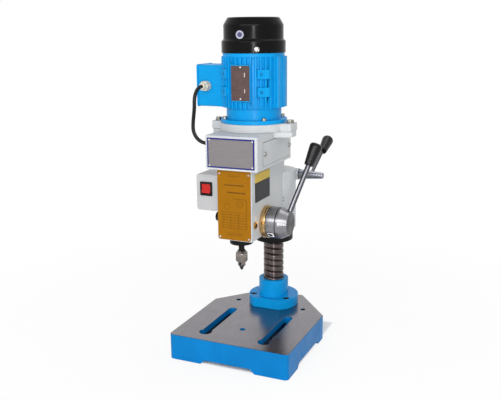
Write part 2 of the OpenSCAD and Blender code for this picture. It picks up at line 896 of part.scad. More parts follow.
module height_nut() {
  edge = 2;
  color("black")
  translate([0, column_y, nut_z])
    rotate_extrude()
      polygon([[column_bore_d / 2, 0], [nut_d / 2 - edge, 0], [nut_d / 2, edge],
        [nut_d / 2, nut_h - edge], [nut_d / 2 - edge, nut_h], [column_bore_d / 2, nut_h]]);
}

module head_casting() {
  housing_mid_y = (housing_front_y + housing_rear_y) / 2;
  web_from_y = housing_rear_y - housing_edge_r;
  web_end_y = column_y - web_rear;
  web_z = housing_top_z - web_drop - web_h;
  stud_hole_d = lock_stud_d + 2 * run_fit;
  color("gainsboro")
  difference() {
    union() {
      translate([0, housing_mid_y, housing_z])
        linear_extrude(housing_h)
          rounded_rect(housing_w, housing_rear_y - housing_front_y, housing_edge_r);
      translate([-web_w / 2, web_from_y, web_z])
        cube([web_w, web_end_y - web_from_y, web_h]);
      translate([0, column_y, clamp_z])
        cylinder(d = clamp_d, h = clamp_h);
      bar_x(lock_boss_d, 0, lock_foot_x, lock_y, lock_z);
    }
    translate([0, column_y, clamp_z - cut])
      cylinder(d = column_bore_d, h = clamp_h + web_h);
    translate([-split_w / 2, column_y, clamp_z - cut])
      cube([split_w, clamp_d / 2 + cut, clamp_h + 2 * cut]);
    bar_x(stud_hole_d, -lock_side + stud_cover, lock_foot_x + cut, lock_y, lock_z);
    // Quill bore, sleeve passage and the seat of the sleeve's bearings
    translate([0, spindle_y, housing_z - cut])
      cylinder(d = quill_d + 2 * run_fit, h = quill_l + 3 + cut);
    translate([0, spindle_y, housing_z])
      cylinder(d = sleeve_d + 4, h = housing_h + cut);
    translate([0, spindle_y, sleeve_bearing_z])
      cylinder(d = sleeve_bearing_d + 2 * fixed_fit, h = 2 * sleeve_bearing_w + cut);
    // Pinion chamber from the right, and the shaft's bearing on the left
    bar_x(pinion_bore_d, -pinion_w / 2 - pinion_room, housing_side + cut, feed_y, feed_z);
    bar_x(feed_shaft_d + 2 * run_fit, -housing_side - cut, 0, feed_y, feed_z);
    bar_x(oil_plug_d * 0.6 + 2 * fixed_fit, housing_side - 6, housing_side + cut,
      spindle_y - oil_plug_front, housing_z + oil_plug_rise);
  }
}

module belt_box() {
  inner_w = box_w - 2 * box_wall;
  inner_d = box_d - 2 * box_wall;
  lug_x = ear_pitch / 2 + ear_out;
  foot_x = box_side - box_wall / 2;
  color("gainsboro")
  difference() {
    union() {
      translate([0, box_mid_y, box_z])
        linear_extrude(box_h)
          rounded_rect(box_w, box_d, box_edge_r);
      // Lugs under the motor plate's ears
      for (side = [-1, 1])
        translate([0, motor_y, box_top_z - lug_t])
          linear_extrude(lug_t)
            polygon([[side * foot_x, -lug_w / 2], [side * box_side, -lug_w / 2],
              [side * lug_x, -lug_end_w / 2], [side * lug_x, lug_end_w / 2],
              [side * box_side, lug_w / 2], [side * foot_x, lug_w / 2]]);
    }
    translate([-inner_w / 2, box_front_y + box_wall, box_z + box_wall])
      cube([inner_w, inner_d, box_h - 2 * box_wall]);
    translate([0, motor_y, box_top_z - box_wall - cut])
      cylinder(d = motor_hole_d, h = box_wall + 2 * cut);
    translate([0, spindle_y, box_z - cut])
      cylinder(d = sleeve_d + 4, h = box_wall + 2 * cut);
    // Opening and recess of the side cover
    translate([box_side - box_wall - cut, cover_y + cover_lap, cover_z + cover_lap])
      cube([box_wall + 2 * cut, cover_l - 2 * cover_lap, cover_h - 2 * cover_lap]);
    translate([box_side - cover_t + 0.5, cover_y - free_gap, cover_z - free_gap])
      cube([cover_t + cut, cover_l + 2 * free_gap, cover_h + 2 * free_gap]);
    cover_screw_places()
      bar_x(cover_screw_d + 2 * fixed_fit, box_side - box_wall - cut, box_side + cut, 0, 0);
    ear_places()
      translate([0, 0, -lug_t * 2])
        cylinder(d = ear_bolt_d + 2 * fixed_fit, h = lug_t * 2 + cut);
  }
}

// Places of the side cover's screws, on the cover's face
module cover_screw_places() {
  for (y = [cover_y + cover_lap * 0.62, cover_y + cover_l - cover_lap * 0.62])
    translate([0, y, cover_z + cover_h / 2])
      children();
}

// Places of the ear bolts, on the top of the belt box
module ear_places() {
  for (side = [-1, 1])
    translate([side * ear_pitch / 2, motor_y, box_top_z])
      children();
}

module belt_cover() {
  face_x = box_side + 0.5;
  color("whitesmoke")
  difference() {
    translate([face_x - cover_t, cover_y, cover_z])
      cube([cover_t, cover_l, cover_h]);
    cover_screw_places()
      bar_x(cover_screw_d + 2 * fixed_fit, face_x - cover_t - cut, face_x + cut, 0, 0);
  }
}

module belt_cover_screws() {
  face_x = box_side + 0.5;
  head_d = 1.8 * cover_screw_d;
  head_h = 0.5 * cover_screw_d;
  color("silver")
  cover_screw_places()
    difference() {
      union() {
        bar_x(cover_screw_d, box_side - box_wall, face_x, 0, 0);
        bar_x(head_d, face_x, face_x + head_h, 0, 0);
      }
      translate([face_x + head_h / 2, -head_d, -0.5])
        cube([head_h, 2 * head_d, 1]);
    }
}

module badge_plate() {
  w = box_w - 2 * badge_margin;
  h = box_h - 2 * badge_margin + 2;
  color("slategray")
  difference() {
    along_y(box_front_y - sheet_t, box_front_y)
      translate([0, box_z + box_h / 2])
        square([w, h], center = true);
    badge_rivet_places()
      bar_y(rivet_d + 2 * fixed_fit, -sheet_t - cut, cut, 0, 0);
  }
}

module badge_rivet_places() {
  for (x = [-1, 1])
    for (z = [-1, 1])
      translate([x * (box_w / 2 - badge_margin - rivet_d * 1.4), box_front_y,
        box_z + box_h / 2 + z * (box_h / 2 - badge_margin - rivet_d)])
        children();
}

module data_plate() {
  w = housing_w - 2 * data_margin;
  h = housing_h - 2 * data_margin;
  color("goldenrod")
  difference() {
    along_y(housing_front_y - sheet_t, housing_front_y)
      translate([0, housing_z + housing_h / 2])
        union() {
          translate([-w / 2, -h / 2 + data_corner_r])
            square([w, h - data_corner_r]);
          translate([-w / 2 + data_corner_r, -h / 2])
            square([w - 2 * data_corner_r, h]);
          for (x = [-1, 1])
            translate([x * (w / 2 - data_corner_r), -h / 2 + data_corner_r])
              circle(r = data_corner_r);
        }
    data_rivet_places()
      bar_y(rivet_d + 2 * fixed_fit, -sheet_t - cut, cut, 0, 0);
  }
}

module data_rivet_places() {
  inset = data_margin + rivet_d * 1.4;
  for (x = [-1, 1])
    for (z = [housing_z + inset, housing_top_z - inset - rivet_d])
      translate([x * (housing_side - inset), housing_front_y, z])
        children();
}

module nameplate_rivet_places() {
  for (z = [-1, 1])
    translate([0, nameplate_y - sheet_t,
      frame_z + motor_h / 2 + z * (nameplate_h / 2 - rivet_d)])
      children();
}

// Rivet that points forward, from the face that it sits on
module rivet() {
  head_h = rivet_d * 0.4;
  rotate([90, 0, 0])
    union() {
      cylinder(d = rivet_d, h = sheet_t + head_h / 2);
      translate([0, 0, sheet_t])
        cylinder(d1 = rivet_d * 1.7, d2 = rivet_d, h = head_h);
    }
}

module plate_rivets() {
  color("silver")
  union() {
    badge_rivet_places()
      rivet();
    data_rivet_places()
      rivet();
    nameplate_rivet_places()
      translate([0, sheet_t, 0])
        rivet();
  }
}

module side_plate() {
  color("khaki")
  translate([housing_side, spindle_y - side_plate_front, housing_top_z - side_plate_drop - side_plate_h])
    cube([sheet_t, side_plate_l, side_plate_h]);
}

module oil_plug() {
  y = spindle_y - oil_plug_front;
  z = housing_z + oil_plug_rise;
  head_t = 2.5;
  color("gold")
  difference() {
    union() {
      bar_x(oil_plug_d * 0.6, housing_side - 5, housing_side, y, z);
      bar_x(oil_plug_d, housing_side, housing_side + head_t, y, z);
    }
    translate([housing_side + head_t / 2, y - oil_plug_d, z - 0.6])
      cube([head_t, 2 * oil_plug_d, 1.2]);
  }
}

module motor_screw_places() {
  for (a = motor_screw_angles)
    translate([0, motor_y, 0])
      rotate(a)
        translate([motor_screw_pcd / 2, 0, 0])
          children();
}

module motor_plate() {
  color("gainsboro")
  difference() {
    union() {
      translate([0, motor_y, plate_z])
        cylinder(d = plate_d, h = plate_t);
      translate([0, motor_y, plate_z])
        linear_extrude(plate_t)
          rounded_rect(ear_pitch + 2 * ear_out, ear_w, ear_r);
    }
    translate([0, motor_y, plate_z - cut])
      cylinder(d = motor_hole_d, h = plate_t + 2 * cut);
    ear_places()
      translate([0, 0, -cut])
        cylinder(d = ear_bolt_d + 2 * fixed_fit, h = plate_t + 2 * cut);
    motor_screw_places()
      translate([0, 0, plate_z + 3])
        cylinder(d = motor_screw_d + 2 * fixed_fit, h = plate_t);
  }
}

module ear_bolts() {
  head_d = 1.75 * ear_bolt_d;
  head_h = 0.64 * ear_bolt_d;
  color("darkgray")
  ear_places()
    union() {
      translate([0, 0, -lug_t])
        cylinder(d = ear_bolt_d, h = lug_t + plate_t);
      translate([0, 0, plate_t])
        cylinder(d = head_d, h = head_h, $fn = 6);
    }
}

module motor_end_bell() {
  color("deepskyblue")
  difference() {
    translate([0, motor_y, motor_z])
      union() {
        cylinder(d = motor_flange_d, h = motor_flange_t);
        cylinder(d = motor_neck_d, h = motor_flange_t + motor_neck_h);
      }
    translate([0, motor_y, motor_z - cut])
      cylinder(d = motor_shaft_d + 4, h = motor_flange_t + motor_neck_h + 2 * cut);
    translate([0, motor_y, lower_motor_bearing_z])
      cylinder(d = motor_bearing_d + 2 * fixed_fit, h = motor_bearing_w + cut);
    motor_screw_places()
      translate([0, 0, motor_z - cut])
        cylinder(d = motor_screw_d + 2 * fixed_fit, h = motor_flange_t + 2 * cut);
  }
}

module motor_flange_screws() {
  color("silver")
  motor_screw_places()
    union() {
      translate([0, 0, motor_z - 10])
        cylinder(d = motor_screw_d, h = motor_flange_t + 10);
      translate([0, 0, neck_z])
        cylinder(d = 1.6 * motor_screw_d, h = motor_screw_d);
    }
}

// Outline of the finned frame
module fin_outline() {
  half = fin_t / motor_d * 180 / PI;
  polygon([for (i = [0:fin_count - 1])
    let (a = 360 * i / fin_count, root = frame_core_d / 2, tip = motor_d / 2, flank = half * 1.3)
    each [root * [cos(a - flank), sin(a - flank)], tip * [cos(a - half), sin(a - half)],
      tip * [cos(a + half), sin(a + half)], root * [cos(a + flank), sin(a + flank)]]]);
}

module motor_frame() {
  pad_t = 3;
  pad_w = 23;
  pad_h = 17;
  pad_spread = 40;
  pad_up = nameplate_h * 0.255;
  plate_pad_w = nameplate_w + 2;
  side_pad_d = junction_d * 0.72;
  seat_in = frame_bore_d * 0.36;
  pad_z = frame_z + motor_h / 2;
  spigot_h = fan_cover_gap + spigot_in;
  color("deepskyblue")
  difference() {
    union() {
      translate([0, motor_y, frame_z])
        linear_extrude(motor_h)
          fin_outline();
      translate([0, motor_y, frame_top_z - 1])
        cylinder(d = spigot_d, h = spigot_h + 1);
      // Flat seats of the nameplate, of the junction box and of the blank right side
      translate([-plate_pad_w / 2, nameplate_y, pad_z - nameplate_h / 2 - 2])
        cube([plate_pad_w, motor_d / 2 - seat_in, nameplate_h + 4]);
      translate([junction_x, motor_y - junction_d / 2, junction_z])
        cube([junction_out - seat_in, junction_d, junction_h]);
      translate([seat_in, motor_y - side_pad_d / 2, frame_z])
        cube([motor_d / 2 - 2 - seat_in, side_pad_d, motor_h]);
      // Foot pads with round bosses
      for (side = [-1, 1])
        for (up = [-1, 1])
          translate([0, motor_y, pad_z + up * pad_up])
            rotate(-90 + side * pad_spread)
              union() {
                translate([frame_core_d / 2 - 4, -pad_w / 2, -pad_h / 2])
                  cube([fin_h + pad_t + 4, pad_w, pad_h]);
                bar_x(9, frame_core_d / 2, motor_d / 2 + pad_t + 1, -side * pad_w / 5, 0);
              }
    }
    translate([0, motor_y, frame_z - cut])
      cylinder(d = frame_bore_d, h = motor_h - motor_bearing_w + cut);
    translate([0, motor_y, frame_z])
      cylinder(d = motor_bearing_d + 2 * fixed_fit, h = motor_h);
    translate([0, motor_y, frame_z])
      cylinder(d = motor_shaft_d + 4, h = motor_h + spigot_h);
    translate([0, motor_y, frame_top_z + end_wall_t])
      cylinder(d = spigot_d - 2 * motor_wall, h = spigot_h);
    fan_screw_places()
      bar_x(fan_screw_d + 2 * fixed_fit, spigot_d / 2 - motor_wall - cut, spigot_d / 2 + cut, 0, 0);
  }
}

module stator_core() {
  color("peru")
  translate([0, motor_y, rotor_z])
    ring(frame_bore_d - 2 * fixed_fit, rotor_d + 2 * air_gap, rotor_h);
}

module head_bearings() {
  sleeve_in = sleeve_d + 2 * run_fit;
  shaft_in = motor_shaft_d + 2 * run_fit;
  color("silver")
  union() {
    for (i = [0, 1])
      translate([0, spindle_y, sleeve_bearing_z + i * (sleeve_bearing_w + fixed_fit)])
        bearing(sleeve_bearing_d, sleeve_in, sleeve_bearing_w - fixed_fit);
    translate([0, motor_y, lower_motor_bearing_z])
      bearing(motor_bearing_d, shaft_in, motor_bearing_w);
    translate([0, motor_y, upper_motor_bearing_z])
      bearing(motor_bearing_d, shaft_in, motor_bearing_w);
  }
}

module fan_screw_places() {
  for (a = fan_screw_angles)
    translate([0, motor_y, fan_screw_z])
      rotate(a)
        children();
}

// Half profile of the fan cover, outside or inside by an inset
module fan_cover_profile(inset) {
  band_r = fan_cover_d / 2 - inset;
  top_r = fan_top_d / 2 - inset;
  step_h = 2;
  slope_z = fan_cover_h - fan_slope_h;
  polygon([[0, 0], [band_r, 0], [band_r, fan_band_h], [top_r, fan_band_h + step_h],
    [top_r, slope_z], [top_r - fan_slope_w, fan_cover_h - inset], [0, fan_cover_h - inset]]);
}

module fan_cover() {
  slot_in = 14;
  slot_out = fan_top_d / 2 - fan_slope_w - 6;
  color("black")
  difference() {
    translate([0, motor_y, fan_cover_z])
      rotate_extrude()
        fan_cover_profile(0);
    translate([0, motor_y, fan_cover_z])
      rotate_extrude()
        fan_cover_profile(fan_cover_wall);
    translate([0, motor_y, fan_cover_z - cut])
      cylinder(d = fan_cover_d - 2 * fan_cover_wall, h = 2 * cut);
    for (i = [0:air_slots - 1])
      translate([0, motor_y, fan_cover_top_z - fan_cover_wall - cut])
        rotate(360 * i / air_slots)
          translate([slot_in, -air_slot_w / 2, 0])
            cube([slot_out - slot_in, air_slot_w, fan_cover_wall + 2 * cut]);
    fan_screw_places()
      bar_x(fan_screw_d + 2 * fixed_fit, fan_cover_d / 2 - fan_cover_wall - cut, fan_cover_d / 2 + cut,
        0, 0);
  }
}

module fan_cover_screws() {
  head_d = 2 * fan_screw_d;
  head_t = 0.6 * fan_screw_d;
  key_w = fan_screw_d / 4;
  color("silver")
  fan_screw_places()
    difference() {
      union() {
        bar_x(fan_screw_d, spigot_d / 2 - motor_wall, fan_cover_d / 2 + head_t / 2, 0, 0);
        bar_x(head_d, fan_cover_d / 2, fan_cover_d / 2 + head_t, 0, 0);
      }
      translate([fan_cover_d / 2 + head_t / 2, -head_d, -key_w / 2])
        cube([head_t, 2 * head_d, key_w]);
    }
}

module motor_nameplate() {
  color("saddlebrown")
  difference() {
    along_y(nameplate_y - sheet_t, nameplate_y)
      translate([0, frame_z + motor_h / 2])
        square([nameplate_w, nameplate_h], center = true);
    nameplate_rivet_places()
      bar_y(rivet_d + 2 * fixed_fit, -cut, sheet_t + cut, 0, 0);
  }
}

module junction_box() {
  mid_z = junction_z + junction_h / 2;
  color("deepskyblue")
  difference() {
    translate([lid_x, 0, 0])
      along_x(0, junction_w)
        translate([motor_y, mid_z])
          rounded_rect(junction_d, junction_h, junction_edge_r);
    translate([lid_x - cut, 0, 0])
      along_x(0, junction_w - junction_wall + cut)
        translate([motor_y, mid_z])
          rounded_rect(junction_d - 2 * junction_wall, junction_h - 2 * junction_wall, 2);
  }
}

module junction_screw_places() {
  inset = 2.6 + junction_wall;
  for (y = [-1, 1])
    for (z = [-1, 1])
      translate([lid_x - junction_lid_t, motor_y + y * (junction_d / 2 - inset),
        junction_z + junction_h / 2 + z * (junction_h / 2 - inset)])
        children();
}

module junction_lid() {
  mid_z = junction_z + junction_h / 2;
  color("dodgerblue")
  difference() {
    translate([lid_x - junction_lid_t, 0, 0])
      along_x(0, junction_lid_t)
        translate([motor_y, mid_z])
          rounded_rect(junction_d + 2, junction_h + 2, junction_edge_r + 1);
    junction_screw_places()
      bar_x(3 + 2 * fixed_fit, -cut, junction_lid_t + cut, 0, 0);
  }
}

module junction_lid_screws() {
  color("silver")
  junction_screw_places()
    union() {
      bar_x(3, 0, junction_lid_t, 0, 0);
      bar_x(6, -1.8, 0, 0, 0);
    }
}

module cable_gland() {
  neck_l = gland_l * 0.3;
  color("antiquewhite")
  union() {
    bar_y(gland_d * 0.9, gland_y - neck_l, gland_y, gland_x, gland_z);
    translate([gland_x, gland_y - neck_l, gland_z])
      rotate([90, 0, 0])
        cylinder(d = gland_d, h = gland_l * 0.35, $fn = 6);
    translate([gland_x, gland_y - neck_l, gland_z])
      rotate([90, 0, 0])
        cylinder(d1 = gland_d * 0.86, d2 = lead_d + 5, h = gland_l - neck_l);
  }
}

// Directions along a route, one for each point
function route_dirs(p) = [for (i = [0:len(p) - 1])
  let (d = p[min(i + 1, len(p) - 1)] - p[max(i - 1, 0)])
  d / norm(d)];

// Side vectors along a route that turn as little as they can
function route_sides(dirs, i, side) =
  let (flat = side - (side * dirs[i]) * dirs[i], s = flat / norm(flat))
  i == len(dirs) - 1 ? [s] : concat([s], route_sides(dirs, i + 1, s));

module tube(route, d, sides) {
  dirs = route_dirs(route);
  first_dir = [0, -1, 0];
  last_dir = [1, 0, 0];
  ends = [for (i = [0:len(dirs) - 1]) i == 0 ? first_dir : i == len(dirs) - 1 ? last_dir : dirs[i]];
  across = route_sides(ends, 0, [1, 0, 0]);
  last = len(route) - 1;
  points = [for (i = [0:last])
    for (s = [0:sides - 1])
      let (a = 360 * s / sides, up = cross(ends[i], across[i]))
      route[i] + d / 2 * (cos(a) * across[i] + sin(a) * up)];
  skin = [for (i = [0:last - 1])
    for (s = [0:sides - 1])
      let (n = (s + 1) % sides, a = i * sides, b = a + sides)
      each [[a + s, b + s, b + n], [a + s, b + n, a + n]]];
  start = [for (s = [0:sides - 1]) s];
  end = [for (s = [sides - 1:-1:0]) last * sides + s];
  polyhedron(points, concat(skin, [start, end]));
}

module motor_lead() {
  color("black")
  tube(lead_route, lead_d, lead_sides);
}

module lead_grommet() {
  color("black")
  translate([-box_side, lead_to.y, lead_to.z])
    rotate([0, -90, 0])
      cylinder(d1 = grommet_d, d2 = lead_d + 3, h = grommet_l);
}

module switch_box() {
  mid_z = switch_z + switch_h / 2;
  mid_x = -housing_side - switch_w / 2;
  inner_w = switch_w - 2 * switch_wall;
  inner_h = switch_h - 2 * switch_wall;
  hole_w = bezel_w - 2 * bezel_border + 3;
  hole_h = bezel_h - 2 * bezel_border + 3;
  color("whitesmoke")
  difference() {
    along_y(switch_front_y, switch_front_y + switch_d)
      translate([mid_x, mid_z])
        rounded_rect(switch_w, switch_h, switch_edge_r);
    along_y(switch_front_y + switch_wall, switch_front_y + switch_d - switch_wall)
      translate([mid_x, mid_z])
        square([inner_w, inner_h], center = true);
    along_y(switch_front_y - cut, switch_front_y + switch_wall + cut)
      translate([rocker_x, rocker_z])
        square([hole_w, hole_h], center = true);
  }
}

module switch_bezel() {
  window_w = bezel_w - 2 * bezel_border;
  window_h = bezel_h - 2 * bezel_border;
  body_w = window_w + 2.6;
  body_h = window_h + 2.6;
  color("black")
  difference() {
    union() {
      along_y(switch_front_y - bezel_t, switch_front_y)
        translate([rocker_x, rocker_z])
          rounded_rect(bezel_w, bezel_h, 1.5);
      along_y(switch_front_y, switch_front_y + bezel_body_d)
        translate([rocker_x, rocker_z])
          square([body_w, body_h], center = true);
    }
    difference() {
      along_y(switch_front_y - bezel_t - cut, switch_front_y + bezel_body_d - 2)
        translate([rocker_x, rocker_z])
          square([window_w, window_h], center = true);
      bar_x(rocker_pin_d, rocker_x - window_w, rocker_x + window_w, rocker_y, rocker_z);
    }
  }
}

module rocker() {
  w = bezel_w - 2 * bezel_border - 2 * rocker_gap;
  h = bezel_h - 2 * bezel_border - 2 * rocker_gap - 1.6;
  crown = 4 + bezel_t + 1.5;
  dip = 1.8;
  color("red")
  translate([0, rocker_y, rocker_z])
    rotate([-rocker_tilt, 0, 0])
      difference() {
        along_x(rocker_x - w / 2, rocker_x + w / 2)
          polygon([[-crown, -h / 2], [-crown + dip, 0], [-crown, h / 2], [0, h / 2],
            [5, h / 4], [5, -h / 4], [0, -h / 2]]);
        bar_x(rocker_pin_d + 2 * run_fit, rocker_x - w, rocker_x + w, 0, 0);
      }
}

module mains_inlet() {
  rear_y = switch_front_y + switch_d;
  x = -housing_side - switch_w / 2;
  z = switch_z + switch_h * 0.3;
  color("black")
  difference() {
    union() {
      bar_y(inlet_d, rear_y, rear_y + 5, x, z);
      bar_y(inlet_d * 0.75, rear_y + 5, rear_y + 14, x, z);
    }
    bar_y(inlet_d * 0.4, rear_y + 4, rear_y + 14 + cut, x, z);
  }
}

module spring_cap() {
  edge = 3;
  color("black")
  difference() {
    union() {
      bar_x(spring_cap_d, -housing_side - spring_cap_t + edge, -housing_side, feed_y, feed_z);
      translate([-housing_side - spring_cap_t, feed_y, feed_z])
        rotate([0, 90, 0])
          cylinder(d1 = spring_cap_d - 2 * edge, d2 = spring_cap_d, h = edge);
      bar_x(spring_nut_d, -housing_side - spring_cap_t - spring_nut_t, -housing_side - spring_cap_t + edge / 2,
        feed_y, feed_z);
    }
    bar_x(spring_room_d, -housing_side - spring_cap_t + edge, -housing_side + cut, feed_y, feed_z);
  }
}

module return_spring() {
  steps = 24;
  count = spring_turns * steps;
  inner = [for (i = [0:count])
    let (a = 360 * i / steps, r = spring_in_d / 2 + spring_pitch * i / steps)
    [r * cos(a), r * sin(a)]];
  outer = [for (i = [count:-1:0])
    let (a = 360 * i / steps, r = spring_in_d / 2 + spring_pitch * i / steps + spring_strip)
    [r * cos(a), r * sin(a)]];
  color("steelblue")
  translate([0, feed_y, feed_z])
    along_x(-housing_side - spring_cap_t + 3 + free_gap, -housing_side - 1)
      polygon(concat(inner, outer));
}

module feed_bush() {
  color("gold")
  difference() {
    union() {
      bar_x(bush_d, housing_side, bush_x, feed_y, feed_z);
      bar_x(pinion_bore_d - 2 * fixed_fit, pinion_w / 2 + pinion_room, housing_side, feed_y, feed_z);
    }
    bar_x(feed_shaft_d + 2 * run_fit, 0, bush_x + cut, feed_y, feed_z);
  }
}

// Loop round both pulleys, outside or inside by a distance from the belt's back
module belt_loop(inset) {
  r1 = pulley_big_d / 2 - inset;
  r2 = pulley_small_d / 2 - inset;
  lean = asin((r1 - r2) / belt_centres);
  n = [cos(lean), sin(lean)];
  translate([0, spindle_y])
    circle(r = r1);
  translate([0, motor_y])
    circle(r = r2);
  polygon([[r1 * n.x, spindle_y + r1 * n.y], [r2 * n.x, motor_y + r2 * n.y],
    [-r2 * n.x, motor_y + r2 * n.y], [-r1 * n.x, spindle_y + r1 * n.y]]);
}

module drive_belt() {
  color("black")
  translate([0, 0, belt_z - belt_w / 2])
    linear_extrude(belt_w)
      difference() {
        belt_loop(0.3);
        belt_loop(belt_t - 0.6);
      }
}

// Half profile of a two-step pulley with a groove in each step, from its bore outwards
module pulley_profile(low_d, high_d, bore_d) {
  g = groove_d / 2;
  e = (pulley_step_h - groove_w) / 2;
  s = pulley_step_h;
  polygon([[bore_d / 2, 0], [low_d / 2, 0], [low_d / 2, e], [low_d / 2 - g, e],
    [low_d / 2 - g, s - e], [low_d / 2, s - e], [low_d / 2, s], [high_d / 2, s],
    [high_d / 2, s + e], [high_d / 2 - g, s + e], [high_d / 2 - g, 2 * s - e],
    [high_d / 2, 2 * s - e], [high_d / 2, 2 * s], [bore_d / 2, 2 * s]]);
}

module spindle_pulley() {
  bore_d = spindle_d + 2 * run_fit;
  sleeve_foot_z = sleeve_bearing_z - 3;
  color("silver")
  translate([0, spindle_y, 0])
    union() {
      translate([0, 0, pulley_z])
        rotate_extrude()
          pulley_profile(pulley_big_d, pulley_small_d, bore_d);
      translate([0, 0, sleeve_foot_z])
        ring(sleeve_d, bore_d, pulley_z - sleeve_foot_z);
    }
}

module motor_pulley() {
  color("silver")
  translate([0, motor_y, pulley_z])
    rotate_extrude()
      pulley_profile(pulley_small_d, pulley_big_d, motor_shaft_d + 2 * fixed_fit);
}

module rotor() {
  top_z = fan_z + fan_h;
  color("lightgray")
  translate([0, motor_y, 0])
    union() {
      translate([0, 0, pulley_z])
        cylinder(d = motor_shaft_d, h = top_z - pulley_z);
      translate([0, 0, rotor_z])
        cylinder(d = rotor_d, h = rotor_h);
    }
}

module motor_fan() {
  hub_d = motor_shaft_d + 14;
  blade_t = 2.5;
  disc_t = 3;
  color("dimgray")
  translate([0, motor_y, fan_z])
    difference() {
      union() {
        cylinder(d = hub_d, h = fan_h);
        cylinder(d = fan_d, h = disc_t);
        for (i = [0:fan_blades - 1])
          rotate(360 * i / fan_blades)
            translate([hub_d / 2 - 2, -blade_t / 2, disc_t / 2])
              cube([fan_d / 2 - hub_d / 2 - 1, blade_t, fan_h - disc_t]);
      }
      translate([0, 0, -cut])
        cylinder(d = motor_shaft_d + 2 * fixed_fit, h = fan_h + 2 * cut);
    }
}

// Tooth space of the rack in Y and Z, with Y measured from the rack's pitch line
module rack_space() {
  mouth = tooth_pitch / 4 + gear_module * tan(pressure_angle) * 1.4;
  rim = gear_module * 1.4;
  root = 1.3 * gear_module;
  foot = tooth_pitch / 4 - root * tan(pressure_angle);
  polygon([[-root, -foot], [rim, -mouth], [rim, mouth], [-root, foot]]);
}

module quill() {
  flat_y = spindle_y + rack_line + gear_module;
  rack_half = pinion_w / 2 + 1;
  color("silver")
  difference() {
    translate([0, spindle_y, housing_z])
      cylinder(d = quill_d, h = quill_l);
    translate([-quill_d, flat_y, housing_z - cut])
      cube([2 * quill_d, quill_d, quill_l + 2 * cut]);
    for (i = [-rack_teeth_down:rack_teeth_up])
      translate([0, spindle_y + rack_line, feed_z + i * tooth_pitch])
        along_x(-rack_half, rack_half)
          rack_space();
    translate([0, spindle_y, housing_z - cut])
      cylinder(d = spindle_shoulder_d + 4, h = quill_l + 2 * cut);
    translate([0, spindle_y, housing_z - cut])
      cylinder(d = spindle_bearing_d + 2 * fixed_fit, h = quill_bearing_lift + spindle_bearing_w + cut);
    translate([0, spindle_y, upper_bearing_z])
      cylinder(d = spindle_bearing_d + 2 * fixed_fit, h = quill_bearing_lift + spindle_bearing_w + cut);
  }
}

module quill_nose() {
  edge = 1.5;
  hole_r = spindle_d / 2 + free_gap;
  color("black")
  translate([0, spindle_y, nose_z])
    rotate_extrude()
      polygon([[hole_r, 0], [nose_d / 2 - edge, 0], [nose_d / 2, edge], [nose_d / 2, nose_h],
        [spindle_bearing_d / 2, nose_h], [spindle_bearing_d / 2, nose_h + quill_bearing_lift],
        [spindle_bearing_d / 2 - 3, nose_h + quill_bearing_lift], [spindle_bearing_d / 2 - 3, nose_h],
        [hole_r, nose_h]]);
}

module spindle_bearings() {
  bore_d = spindle_d + 2 * run_fit;
  color("silver")
  translate([0, spindle_y, 0])
    union() {
      translate([0, 0, lower_bearing_z])
        bearing(spindle_bearing_d, bore_d, spindle_bearing_w);
      translate([0, 0, upper_bearing_z])
        bearing(spindle_bearing_d, bore_d, spindle_bearing_w);
    }
}

module spindle() {
  shoulder_z = lower_bearing_z + spindle_bearing_w + free_gap;
  shoulder_top_z = upper_bearing_z - free_gap;
  top_z = pulley_z + 2 * pulley_step_h;
  color("gray")
  translate([0, spindle_y, 0])
    union() {
      translate([0, 0, chuck_z - arbor_in])
        cylinder(d = arbor_d - 3, h = arbor_in);
      translate([0, 0, chuck_z])
        cylinder(d = arbor_d, h = arbor_l);
      translate([0, 0, nose_z])
        cylinder(d = spindle_d, h = top_z - nose_z);
      translate([0, 0, shoulder_z])
        cylinder(d = spindle_shoulder_d, h = shoulder_top_z - shoulder_z);
    }
}

// Places of the jaws, with the jaw's own axis along +Z
module jaw_place(i) {
  translate([0, spindle_y, jaw_base_z])
    rotate(90 + 120 * i)
      translate([jaw_offset, 0, 0])
        rotate([0, jaw_slope, 0])
          children();
}

module chuck_body() {
  nose_edge = 2.5;
  color("silver")
  difference() {
    translate([0, spindle_y, 0])
      union() {
        translate([0, 0, chuck_nose_z])
          cylinder(d1 = chuck_nose_d - 2 * nose_edge, d2 = chuck_nose_d, h = nose_edge);
        translate([0, 0, chuck_nose_z + nose_edge])
          cylinder(d = chuck_nose_d, h = chuck_nose_h - nose_edge + cut);
        translate([0, 0, sleeve_z])
          cylinder(d = chuck_core_d, h = chuck_sleeve_h);
        translate([0, 0, sleeve_top_z])
          cylinder(d1 = chuck_d, d2 = arbor_d + 3, h = chuck_cap_h);
      }
    translate([0, spindle_y, chuck_z - arbor_in])
      cylinder(d = arbor_d - 3 + 2 * fixed_fit, h = arbor_in + cut);
    translate([0, spindle_y, chuck_nose_z - cut])
      cylinder(d = drill_bore_d, h = jaw_l + cut);
    for (i = [0:2])
      jaw_place(i)
        cylinder(d = jaw_d + 2 * run_fit, h = jaw_l + 9);
  }
}

module chuck_sleeve() {
  flutes = 24;
  flute_d = 1.2;
  color("darkgray")
  difference() {
    translate([0, spindle_y, sleeve_z + sleeve_gap / 2])
      ring(chuck_d, chuck_core_d + 2 * run_fit, chuck_sleeve_h - sleeve_gap);
    for (i = [0:flutes - 1])
      translate([0, spindle_y, sleeve_z + 3])
        rotate(360 * i / flutes)
          translate([chuck_d / 2 + flute_d * 0.2, 0, 0])
            cylinder(d = flute_d, h = chuck_sleeve_h - 6);
  }
}

